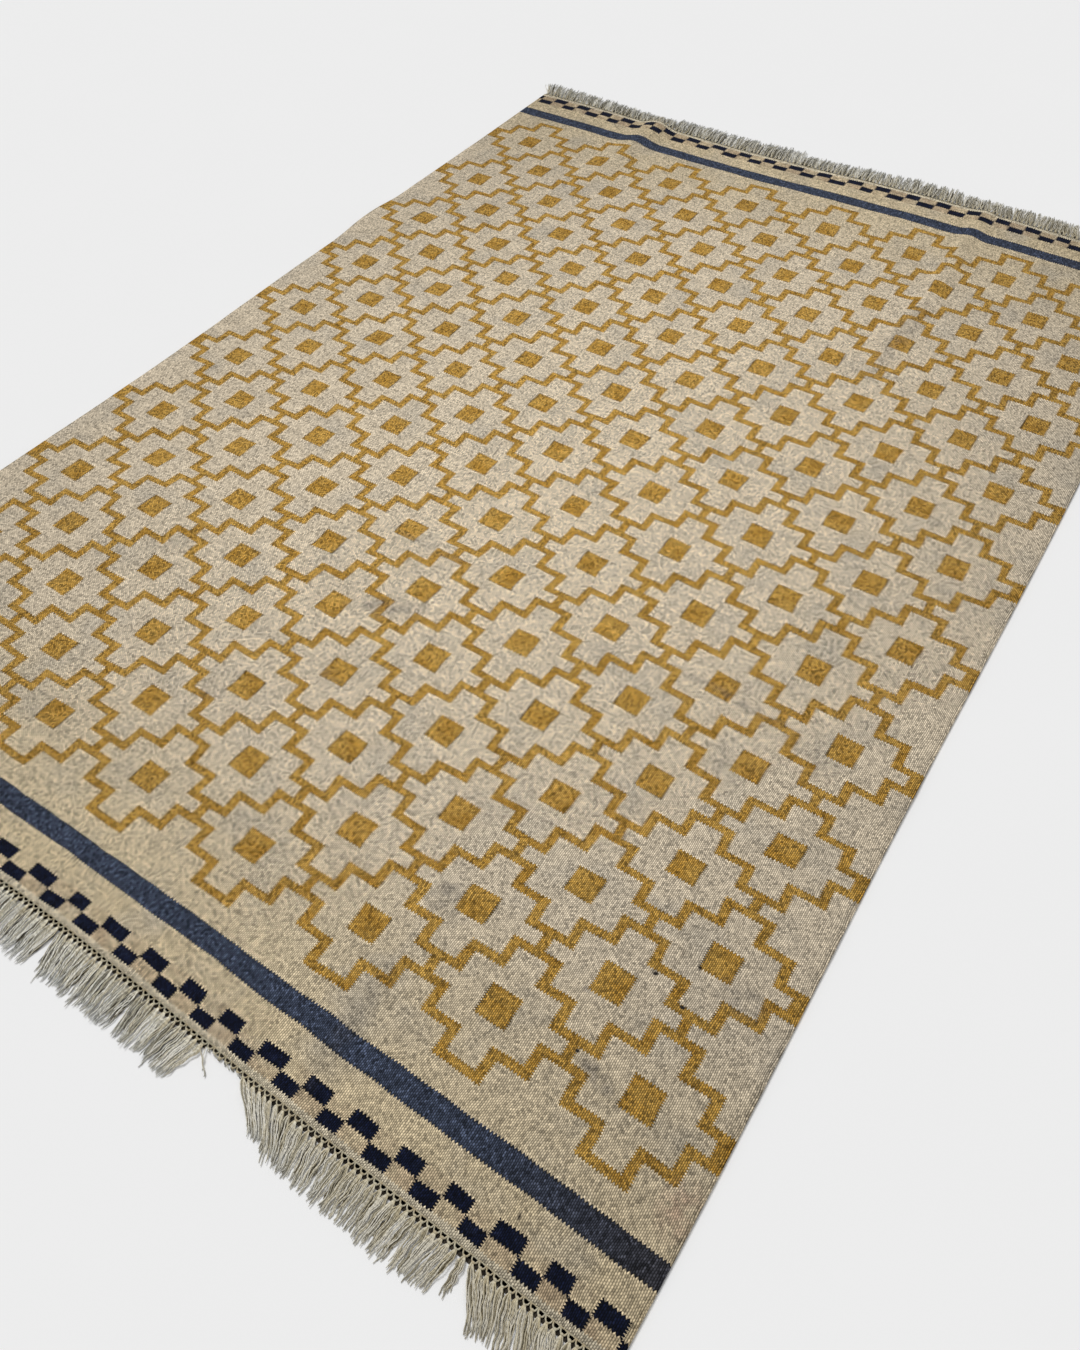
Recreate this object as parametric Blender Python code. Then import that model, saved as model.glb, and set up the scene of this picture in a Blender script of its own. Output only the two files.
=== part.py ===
"""Flat-woven kilim rug with a knotted warp fringe at each end, lying open with a few low folds.

Frame: X across the rug, Y along it towards the far end, Z up, the middle of its footprint at the
origin, metres. The cloth's own coordinates are s, across, and t, along, measured from the middle
row of its pattern. lay() lays the cloth down: it turns s and t into a place on the floor.
"""
import math
import random
from typing import NamedTuple

import bmesh
import bpy
from mathutils import Vector

# Driving dimensions
CLOTH_WIDTH = 1.700
NEAR_REACH = 1.196
FAR_REACH = 1.180
CLOTH_THICKNESS = 0.0035
PIECE_GAP = 0.00045
HEADING_DEPTH = 0.011
HEADING_THICKNESS = 0.003
LOCK_PITCH = 0.0114
LOCK_ROOT_WIDTH = 0.0070
LOCK_TIP_WIDTH = 0.0030
LOCK_MIDDLE = 0.5
LOCK_MIDDLE_WIDTH = 0.0050
LOCK_MIDDLE_THICKNESS = 0.0024
LOCK_GAP = 0.0010

# How far the weave strays from a true rectangle, at STRAY_REACH from the middle row
STRAY_REACH = 1.212
TAPER = 0.023
SIDE_BOW = 0.0085
ROW_SLIDE = 0.024
ROW_FAN = 0.015
SELVEDGE_WAVE = 0.0025
SELVEDGE_WAVES = 5.0
FAR_WAVE = 0.010
FAR_WAVE_TURNS = 0.75
NEAR_WAVE = 0.009
NEAR_WAVE_TURNS = 0.575
NEAR_WAVE_MIDDLE = 0.33
END_WAVE_POWER = 6

# Grid of the cloth's solid
CELL = 0.056
FOLD_STEPS = (-0.050, -0.024, 0.0, 0.024, 0.050)
FOLDS_ALONG = (-0.490, 0.408)
FOLDS_ACROSS = (-0.328,)

# Lie of the fringe: chance spreads, and how much of a fold's height is left half way down a lock
FRINGE_SEED = 11
LENGTH_SPREAD = 0.05
STRAY_SPREAD = 0.0012
SAG_SHARE = 0.3


class Fold(NamedTuple):
    """A low ridge in the cloth from one point of it to another."""

    s_from: float
    t_from: float
    s_to: float
    t_to: float
    height_from: float
    height_to: float
    half_width: float


class Drift(NamedTuple):
    """A patch of the weave that was beaten up or stretched, so its rows slide."""

    s: float
    t: float
    reach_s: float
    reach_t: float
    slide_s: float
    slide_t: float


class Clump(NamedTuple):
    """Neighbouring locks of fringe that sweep the same way and close up at their tips."""

    root_from: float
    root_to: float
    tip_from: float
    tip_to: float
    length: float


FOLDS = (
    Fold(-0.479, 1.300, -0.500, 0.780, 0.018, 0.000, 0.060),
    Fold(0.398, 1.300, 0.408, 0.870, 0.003, 0.010, 0.040),
    Fold(0.408, 0.870, 0.412, 0.560, 0.010, 0.000, 0.040),
    Fold(0.375, -1.300, 0.385, -0.600, 0.005, 0.000, 0.050),
    Fold(-0.500, 0.600, -0.505, -1.050, 0.003, 0.002, 0.050),
    Fold(-0.400, -0.328, 0.820, -0.328, 0.002, 0.003, 0.050),
    Fold(-0.560, -0.530, -0.480, -0.530, 0.012, 0.012, 0.160),
    Fold(-0.950, 0.470, -0.350, 0.450, 0.009, 0.002, 0.130),
)

DRIFTS = (
    Drift(0.80, -0.33, 0.55, 0.24, 0.000, -0.018),
    Drift(0.75, -0.86, 0.50, 0.36, 0.000, 0.014),
    Drift(-0.45, 0.24, 0.65, 0.20, 0.000, -0.008),
    Drift(-0.50, -0.15, 0.65, 0.28, 0.005, 0.006),
    Drift(-0.78, -0.72, 0.50, 0.38, -0.004, -0.009),
    Drift(0.37, -1.21, 0.50, 0.20, 0.000, -0.011),
    Drift(-0.55, 1.16, 0.60, 0.22, 0.000, 0.006),
)

NEAR_CLUMPS = (
    Clump(-0.850, -0.765, -0.866, -0.788, 0.055),
    Clump(-0.765, -0.665, -0.778, -0.690, 0.060),
    Clump(-0.665, -0.560, -0.676, -0.580, 0.057),
    Clump(-0.560, -0.470, -0.566, -0.486, 0.060),
    Clump(-0.470, -0.360, -0.470, -0.374, 0.058),
    Clump(-0.360, -0.265, -0.362, -0.272, 0.060),
    Clump(-0.265, -0.160, -0.262, -0.166, 0.058),
    Clump(-0.160, -0.090, -0.150, -0.094, 0.056),
    Clump(-0.090, -0.020, -0.088, -0.024, 0.059),
    Clump(-0.020, 0.055, -0.004, 0.052, 0.060),
    Clump(0.055, 0.135, 0.061, 0.129, 0.060),
    Clump(0.135, 0.253, 0.141, 0.238, 0.058),
    Clump(0.314, 0.352, 0.362, 0.388, 0.045),
    Clump(0.352, 0.422, 0.392, 0.430, 0.054),
    Clump(0.422, 0.485, 0.434, 0.482, 0.057),
    Clump(0.485, 0.592, 0.488, 0.587, 0.057),
    Clump(0.592, 0.650, 0.592, 0.634, 0.053),
    Clump(0.650, 0.678, 0.654, 0.674, 0.043),
    Clump(0.678, 0.730, 0.700, 0.730, 0.052),
    Clump(0.730, 0.850, 0.748, 0.854, 0.049),
)

FAR_CLUMPS = (
    Clump(-0.850, -0.800, -0.878, -0.820, 0.050),
    Clump(-0.800, -0.640, -0.814, -0.655, 0.047),
    Clump(-0.640, -0.520, -0.651, -0.533, 0.043),
    Clump(-0.520, -0.440, -0.529, -0.453, 0.041),
    Clump(-0.440, -0.330, -0.446, -0.342, 0.057),
    Clump(-0.330, -0.200, -0.337, -0.208, 0.058),
    Clump(-0.200, -0.080, -0.204, -0.087, 0.058),
    Clump(-0.080, 0.060, -0.083, 0.052, 0.045),
    Clump(0.060, 0.160, 0.057, 0.152, 0.049),
    Clump(0.160, 0.330, 0.157, 0.322, 0.051),
    Clump(0.330, 0.460, 0.327, 0.452, 0.044),
    Clump(0.460, 0.640, 0.457, 0.632, 0.049),
    Clump(0.640, 0.850, 0.637, 0.845, 0.049),
)

CREAM = (0.515, 0.434, 0.305, 1.0)
FRINGE_GREY = (0.462, 0.434, 0.330, 1.0)


def clear_scene():
    """Remove every object, so the script can run twice."""
    for obj in list(bpy.data.objects):
        bpy.data.objects.remove(obj, do_unlink=True)


def hump(distance, reach):
    """Smooth bump: 1 at no distance, 0 from reach on."""
    share = min(abs(distance) / reach, 1.0)
    return 0.5 + 0.5 * math.cos(math.pi * share)


def fold_height(fold, s, t):
    """Height that one fold lifts the cloth by at s, t."""
    run_s = fold.s_to - fold.s_from
    run_t = fold.t_to - fold.t_from
    along = ((s - fold.s_from) * run_s + (t - fold.t_from) * run_t) / (run_s ** 2 + run_t ** 2)
    along = min(max(along, 0.0), 1.0)
    away = math.hypot(s - fold.s_from - along * run_s, t - fold.t_from - along * run_t)
    return (fold.height_from + along * (fold.height_to - fold.height_from)) * hump(away, fold.half_width)


def end_wave(across, along):
    """Slide of the rows where an end of the cloth isn't woven straight."""
    if along > 0:
        swing = FAR_WAVE * math.sin(math.tau * FAR_WAVE_TURNS * across)
    else:
        swing = NEAR_WAVE * math.cos(math.tau * NEAR_WAVE_TURNS * (across - NEAR_WAVE_MIDDLE))
    return swing * along ** END_WAVE_POWER


def lay(s, t, lift=0.0):
    """Place on the floor of the cloth's point s, t, lift above the cloth's underside."""
    across = s / (CLOTH_WIDTH / 2)
    along = t / STRAY_REACH
    x = s - TAPER * across * along - SIDE_BOW * along ** 2
    x += SELVEDGE_WAVE * across * math.sin(SELVEDGE_WAVES * along)
    y = t + ROW_SLIDE * along ** 2 + ROW_FAN * across * along
    y += end_wave(across, along)
    for drift in DRIFTS:
        share = hump(s - drift.s, drift.reach_s) * hump(t - drift.t, drift.reach_t)
        x += drift.slide_s * share
        y += drift.slide_t * share
    height = max(fold_height(fold, s, t) for fold in FOLDS)
    return Vector((x, y, height + lift))


def grid_lines(start, stop, folds):
    """Lines of the cloth's grid: even cells, with close ones over each sharp fold."""
    count = round((stop - start) / CELL)
    close = [at + step for at in folds for step in FOLD_STEPS if start < at + step < stop]
    even = [start + (stop - start) * i / count for i in range(count + 1)]
    clear = min(abs(b - a) for a, b in zip(FOLD_STEPS, FOLD_STEPS[1:])) / 2
    kept = [line for line in even[1:-1] if all(abs(line - other) > clear for other in close)]
    return sorted([even[0], even[-1]] + kept + close)


def pair(bm, s, t, thickness):
    """Bottom and top vertex of a sheet at s, t."""
    return bm.verts.new(lay(s, t)), bm.verts.new(lay(s, t, thickness))


def skin(bm, *pairs):
    """Bottom and top face between pairs of vertices."""
    for side in (0, 1):
        bm.faces.new([p[side] for p in pairs])


def wall(bm, first, second):
    """Upright face between two pairs of vertices."""
    bm.faces.new((first[0], second[0], second[1], first[1]))


def make_object(bm, name, colour):
    """Finish a mesh: faces outward, one material with the piece's colour."""
    bmesh.ops.recalc_face_normals(bm, faces=bm.faces)
    mesh = bpy.data.meshes.new(name)
    bm.to_mesh(mesh)
    bm.free()
    material = bpy.data.materials.new(name)
    material.use_nodes = True
    shader = material.node_tree.nodes["Principled BSDF"]
    shader.inputs["Base Color"].default_value = colour
    shader.inputs["Roughness"].default_value = 0.95
    shader.inputs["Metallic"].default_value = 0.0
    mesh.materials.append(material)
    obj = bpy.data.objects.new(name, mesh)
    bpy.context.scene.collection.objects.link(obj)
    return obj


def make_panel():
    """The woven cloth, one sheet with its selvedges and end strips."""
    half = CLOTH_WIDTH / 2
    columns = grid_lines(-half, half, FOLDS_ALONG)
    rows = grid_lines(-NEAR_REACH, FAR_REACH, FOLDS_ACROSS)
    bm = bmesh.new()
    net = [[pair(bm, s, t, CLOTH_THICKNESS) for s in columns] for t in rows]
    for low, high in zip(net, net[1:]):
        for i in range(len(columns) - 1):
            skin(bm, low[i], low[i + 1], high[i + 1], high[i])
        wall(bm, low[0], high[0])
        wall(bm, low[-1], high[-1])
    for line in (net[0], net[-1]):
        for first, second in zip(line, line[1:]):
            wall(bm, first, second)
    return make_object(bm, "rug_panel", CREAM)


class Lock(NamedTuple):
    """Middle of one lock of fringe at its root, half way and tip, and how far the tip reaches."""

    root: float
    middle: float
    tip: float
    length: float


def plan_locks(clumps, rng):
    """Locks of one end from left to right, each clear of the one before it."""
    locks = []
    for clump in clumps:
        span = clump.root_to - clump.root_from
        count = round(span / LOCK_PITCH)
        for i in range(count):
            share = (i + 0.5) / count
            root = clump.root_from + share * span
            tip = clump.tip_from + share * (clump.tip_to - clump.tip_from)
            tip += rng.uniform(-STRAY_SPREAD, STRAY_SPREAD)
            middle = root + LOCK_MIDDLE * (tip - root) + rng.uniform(-STRAY_SPREAD, STRAY_SPREAD)
            length = clump.length * (1.0 + rng.uniform(-LENGTH_SPREAD, LENGTH_SPREAD))
            if locks:
                middle = max(middle, locks[-1].middle + LOCK_MIDDLE_WIDTH + LOCK_GAP)
                tip = max(tip, locks[-1].tip + LOCK_TIP_WIDTH + LOCK_GAP)
            locks.append(Lock(root, middle, tip, length))
    return locks


def add_lock(bm, lock, root_pairs, heading_end, outward):
    """Grow one tapering four-sided lock from its root face down on to the floor."""
    half_middle = LOCK_MIDDLE_WIDTH / 2
    half_tip = LOCK_TIP_WIDTH / 2
    t_middle = heading_end + outward * LOCK_MIDDLE * lock.length
    t_tip = heading_end + outward * lock.length
    ring = []
    for s in (lock.middle - half_middle, lock.middle + half_middle):
        place = lay(s, t_middle)
        place.z *= SAG_SHARE
        low = bm.verts.new(place)
        high = bm.verts.new(place + Vector((0.0, 0.0, LOCK_MIDDLE_THICKNESS)))
        ring.append((low, high))
    edge = []
    for s in (lock.tip - half_tip, lock.tip + half_tip):
        place = lay(s, t_tip)
        place.z = 0.0
        edge.append(bm.verts.new(place))
    skin(bm, root_pairs[0], root_pairs[1], ring[1], ring[0])
    wall(bm, root_pairs[0], ring[0])
    wall(bm, root_pairs[1], ring[1])
    for side in (0, 1):
        bm.faces.new((ring[0][side], ring[1][side], edge[1], edge[0]))
        bm.faces.new((ring[side][0], ring[side][1], edge[side]))


def make_fringe(name, clumps, cloth_end, outward):
    """One end's warp fringe: a narrow knotted heading with its locks fused into it."""
    rng = random.Random(FRINGE_SEED)
    locks = plan_locks(clumps, rng)
    inner = cloth_end + outward * PIECE_GAP
    outer = inner + outward * HEADING_DEPTH
    half = CLOTH_WIDTH / 2
    between = [(a.root + b.root) / 2 for a, b in zip(locks, locks[1:])]
    bm = bmesh.new()
    inner_pairs = [pair(bm, s, inner, HEADING_THICKNESS) for s in [-half] + between + [half]]
    last = pair(bm, -half, outer, HEADING_THICKNESS)
    wall(bm, inner_pairs[0], last)
    for i, lock in enumerate(locks):
        left = pair(bm, lock.root - LOCK_ROOT_WIDTH / 2, outer, HEADING_THICKNESS)
        right = pair(bm, lock.root + LOCK_ROOT_WIDTH / 2, outer, HEADING_THICKNESS)
        skin(bm, inner_pairs[i], left, last)
        skin(bm, inner_pairs[i], inner_pairs[i + 1], right, left)
        wall(bm, inner_pairs[i], inner_pairs[i + 1])
        wall(bm, last, left)
        add_lock(bm, lock, (left, right), outer, outward)
        last = right
    corner = pair(bm, half, outer, HEADING_THICKNESS)
    skin(bm, inner_pairs[-1], corner, last)
    wall(bm, last, corner)
    wall(bm, inner_pairs[-1], corner)
    return make_object(bm, name, FRINGE_GREY)


def centre_footprint(objects):
    """Move the whole rug so that the middle of its footprint is at the origin."""
    points = [vertex.co for obj in objects for vertex in obj.data.vertices]
    middle_x = (min(p.x for p in points) + max(p.x for p in points)) / 2
    middle_y = (min(p.y for p in points) + max(p.y for p in points)) / 2
    for obj in objects:
        obj.location = (-middle_x, -middle_y, 0.0)


def main():
    """Build the cloth and its two fringes."""
    clear_scene()
    panel = make_panel()
    near = make_fringe("near_fringe", NEAR_CLUMPS, -NEAR_REACH, -1)
    far = make_fringe("far_fringe", FAR_CLUMPS, FAR_REACH, 1)
    centre_footprint([panel, near, far])


main()
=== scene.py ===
"""Looks of a flat-woven kilim rug: its pattern, its selvedges, its knotted ends and its yarn fringe.

Every piece is first built flat, in the cloth's own coordinates: s across and t along, in metres from
the middle row of the pattern, and z above the floor. RugLie then lays it down with the same slack
and folds as the part's solids. The weave's pattern reads the flat coordinates from a UV map.
"""
from __future__ import annotations

import bisect
import logging
import math
import random
from dataclasses import dataclass, replace
from enum import Enum

import bmesh
import bpy
from mathutils import Euler, Matrix, Vector, noise

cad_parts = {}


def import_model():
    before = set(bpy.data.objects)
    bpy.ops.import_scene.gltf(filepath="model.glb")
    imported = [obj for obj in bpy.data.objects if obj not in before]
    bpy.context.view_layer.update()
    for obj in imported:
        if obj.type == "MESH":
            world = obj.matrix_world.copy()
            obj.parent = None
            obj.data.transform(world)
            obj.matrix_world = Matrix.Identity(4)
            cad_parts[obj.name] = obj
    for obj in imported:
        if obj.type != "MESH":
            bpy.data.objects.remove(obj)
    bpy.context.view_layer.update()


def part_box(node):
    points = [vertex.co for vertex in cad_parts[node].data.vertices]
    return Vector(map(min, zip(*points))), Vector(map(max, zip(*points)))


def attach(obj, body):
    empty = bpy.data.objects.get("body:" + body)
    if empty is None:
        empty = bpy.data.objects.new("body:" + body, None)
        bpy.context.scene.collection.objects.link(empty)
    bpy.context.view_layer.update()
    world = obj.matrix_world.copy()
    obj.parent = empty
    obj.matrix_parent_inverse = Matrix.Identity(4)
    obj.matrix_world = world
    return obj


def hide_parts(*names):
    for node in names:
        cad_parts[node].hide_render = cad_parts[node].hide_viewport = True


LOG = logging.getLogger("kilim")
BODY = "root"

Colour = tuple[float, float, float, float]


def paint(red: int, green: int, blue: int) -> Colour:
    """Turn a colour as a screen shows it into the linear one that a shader takes.

    Args:
        red, green, blue: The colour's parts, from 0 to 255.

    Returns:
        The linear colour, opaque.
    """
    parts = []
    for part in (red, green, blue):
        share = part / 255.0
        parts.append(share / 12.92 if share <= 0.04045 else ((share + 0.055) / 1.055) ** 2.4)
    return (parts[0], parts[1], parts[2], 1.0)


def hump(distance: float, reach: float) -> float:
    """Smooth bump: 1 at no distance, 0 from reach on."""
    share = min(abs(distance) / reach, 1.0)
    return 0.5 + 0.5 * math.cos(math.pi * share)


def ease(share: float) -> float:
    """Smooth step from 0 to 1."""
    share = min(max(share, 0.0), 1.0)
    return share * share * (3.0 - 2.0 * share)


@dataclass(frozen=True)
class Fold:
    """A low ridge in the cloth from one point of it to another."""

    s_from: float
    t_from: float
    s_to: float
    t_to: float
    height_from: float
    height_to: float
    half_width: float

    def height(self, s: float, t: float) -> float:
        """Height that the fold lifts the cloth by.

        Args:
            s: Distance across the flat cloth.
            t: Distance along the flat cloth.

        Returns:
            The height, 0 away from the fold.
        """
        run_s = self.s_to - self.s_from
        run_t = self.t_to - self.t_from
        along = ((s - self.s_from) * run_s + (t - self.t_from) * run_t) / (run_s ** 2 + run_t ** 2)
        along = min(max(along, 0.0), 1.0)
        away = math.hypot(s - self.s_from - along * run_s, t - self.t_from - along * run_t)
        if away >= self.half_width:
            return 0.0
        crest = self.height_from + along * (self.height_to - self.height_from)
        return crest * hump(away, self.half_width)


@dataclass(frozen=True)
class Drift:
    """A patch of the weave that was beaten up or stretched, so its rows slide."""

    s: float
    t: float
    reach_s: float
    reach_t: float
    slide_s: float
    slide_t: float

    def share(self, s: float, t: float) -> float:
        """How much of the whole slide there is at a place.

        Args:
            s: Distance across the flat cloth.
            t: Distance along the flat cloth.

        Returns:
            1 at the middle of the patch, 0 outside it.
        """
        if abs(s - self.s) >= self.reach_s or abs(t - self.t) >= self.reach_t:
            return 0.0
        return hump(s - self.s, self.reach_s) * hump(t - self.t, self.reach_t)


FOLDS = (
    Fold(-0.479, 1.300, -0.500, 0.780, 0.018, 0.000, 0.060),
    Fold(0.398, 1.300, 0.408, 0.870, 0.003, 0.010, 0.040),
    Fold(0.408, 0.870, 0.412, 0.560, 0.010, 0.000, 0.040),
    Fold(0.375, -1.300, 0.385, -0.600, 0.005, 0.000, 0.050),
    Fold(-0.500, 0.600, -0.505, -1.050, 0.003, 0.002, 0.050),
    Fold(-0.400, -0.328, 0.820, -0.328, 0.002, 0.003, 0.050),
    Fold(-0.560, -0.530, -0.480, -0.530, 0.012, 0.012, 0.160),
    Fold(-0.950, 0.470, -0.350, 0.450, 0.009, 0.002, 0.130),
)

DRIFTS = (
    Drift(0.80, -0.33, 0.55, 0.24, 0.000, -0.018),
    Drift(0.75, -0.86, 0.50, 0.36, 0.000, 0.014),
    Drift(-0.45, 0.24, 0.65, 0.20, 0.000, -0.008),
    Drift(-0.50, -0.15, 0.65, 0.28, 0.005, 0.006),
    Drift(-0.78, -0.72, 0.50, 0.38, -0.004, -0.009),
    Drift(0.37, -1.21, 0.50, 0.20, 0.000, -0.011),
    Drift(-0.55, 1.16, 0.60, 0.22, 0.000, 0.006),
)

# Where only the pattern was woven off its lines, inside a cloth that lies straight
PATTERN_DRIFTS = (
    Drift(0.05, -0.20, 0.24, 0.18, 0.007, 0.000),
    Drift(0.20, 0.88, 0.30, 0.16, 0.007, -0.005),
    Drift(-0.10, -0.42, 0.30, 0.14, 0.003, 0.010),
    Drift(-0.55, 0.47, 0.26, 0.20, 0.007, -0.008),
    Drift(-0.43, -0.82, 0.24, 0.18, 0.003, -0.008),
    Drift(0.62, -0.53, 0.22, 0.16, -0.003, -0.007),
    Drift(0.30, 0.21, 0.24, 0.16, 0.002, -0.006),
    Drift(-0.50, 0.14, 0.22, 0.14, 0.006, -0.002),
)


@dataclass(frozen=True)
class RugLie:
    """How the rug lies on the floor: its sizes, slack and folds, as in the part's source."""

    width: float = 1.700
    near_reach: float = 1.196
    far_reach: float = 1.180
    stray_reach: float = 1.212
    thickness: float = 0.0035
    taper: float = 0.023
    side_bow: float = 0.0085
    row_slide: float = 0.024
    row_fan: float = 0.015
    selvedge_wave: float = 0.0025
    selvedge_waves: float = 5.0
    far_wave: float = 0.010
    far_wave_turns: float = 0.75
    near_wave: float = 0.009
    near_wave_turns: float = 0.575
    near_wave_middle: float = 0.33
    end_wave_power: int = 6
    lock_sag: float = 0.3
    lock_middle: float = 0.038
    lock_reach: float = 0.066
    rim_steps: int = 60
    shift_x: float = 0.0
    shift_y: float = 0.0

    def end_wave(self, across: float, along: float) -> float:
        """Slide of the rows where an end of the cloth isn't woven straight.

        Args:
            across: Share of the way from the middle to the right side.
            along: Share of the way from the middle to the far end.

        Returns:
            How far the rows lie beyond their line.
        """
        if along > 0:
            swing = self.far_wave * math.sin(math.tau * self.far_wave_turns * across)
        else:
            turns = self.near_wave_turns * (across - self.near_wave_middle)
            swing = self.near_wave * math.cos(math.tau * turns)
        return swing * along ** self.end_wave_power

    def left_of_fold(self, t: float) -> float:
        """Share of a fold's height that is left beyond the cloth's ends.

        Args:
            t: Distance along the flat cloth.

        Returns:
            1 on the cloth, 0 at the fringe's tips.
        """
        beyond = max(-self.near_reach - t, t - self.far_reach, 0.0)
        if beyond < self.lock_middle:
            return 1.0 - (1.0 - self.lock_sag) * beyond / self.lock_middle
        rest = (beyond - self.lock_middle) / (self.lock_reach - self.lock_middle)
        return self.lock_sag * max(1.0 - rest, 0.0)

    def place(self, s: float, t: float, lift: float = 0.0) -> Vector:
        """Place on the floor of the cloth's point s, t.

        Args:
            s: Distance across the flat cloth.
            t: Distance along the flat cloth.
            lift: Height above the cloth's underside.

        Returns:
            The point in the frame of the part.
        """
        across = s / (self.width / 2)
        along = t / self.stray_reach
        x = s - self.taper * across * along - self.side_bow * along ** 2
        x += self.selvedge_wave * across * math.sin(self.selvedge_waves * along)
        y = t + self.row_slide * along ** 2 + self.row_fan * across * along
        y += self.end_wave(across, along)
        for drift in DRIFTS:
            share = drift.share(s, t)
            x += drift.slide_s * share
            y += drift.slide_t * share
        height = max(fold.height(s, t) for fold in FOLDS) * self.left_of_fold(t)
        return Vector((x + self.shift_x, y + self.shift_y, height + lift))

    def fitted_to(self, node: str) -> RugLie:
        """Shift the lie so that the laid cloth has the same box as a node of the part.

        Args:
            node: Name of the cloth's node.

        Returns:
            The same lie with its shift set.
        """
        low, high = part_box(node)
        half = self.width / 2
        ends = (-self.near_reach, self.far_reach)
        steps = [-1.0 + 2.0 * i / self.rim_steps for i in range(self.rim_steps + 1)]
        rim = [self.place(side * half, -self.near_reach + (share + 1) / 2 * self.length())
               for side in (-1, 1) for share in steps]
        rim += [self.place(share * half, end) for share in steps for end in ends]
        middle_x = (min(p.x for p in rim) + max(p.x for p in rim)) / 2
        middle_y = (min(p.y for p in rim) + max(p.y for p in rim)) / 2
        return replace(self, shift_x=(low.x + high.x) / 2 - middle_x, shift_y=(low.y + high.y) / 2 - middle_y)

    def length(self) -> float:
        """Length of the flat cloth."""
        return self.near_reach + self.far_reach

    def lay_mesh(self, mesh: bpy.types.Mesh) -> None:
        """Move every point of a flat mesh to where it lies.

        Args:
            mesh: The mesh, with s, t and the height above the cloth's underside as its coordinates.
        """
        for vertex in mesh.vertices:
            s, t, lift = vertex.co
            vertex.co = self.place(s, t, lift)


@dataclass(frozen=True)
class Reading:
    """A number that a material's nodes work out at each point of a surface."""

    bench: NodeBench
    socket: bpy.types.NodeSocket

    def __add__(self, other: Number) -> Reading:
        """Add."""
        return self.bench.work("ADD", self, other)

    __radd__ = __add__

    def __mul__(self, other: Number) -> Reading:
        """Multiply."""
        return self.bench.work("MULTIPLY", self, other)

    __rmul__ = __mul__

    def __sub__(self, other: Number) -> Reading:
        """Take away."""
        return self.bench.work("SUBTRACT", self, other)

    def __rsub__(self, other: Number) -> Reading:
        """Take away from a plain number."""
        return self.bench.work("SUBTRACT", other, self)

    def __neg__(self) -> Reading:
        """Turn the sign."""
        return self.bench.work("MULTIPLY", self, -1.0)

    def __abs__(self) -> Reading:
        """Drop the sign."""
        return self.bench.work("ABSOLUTE", self)


Number = Reading | float


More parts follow.
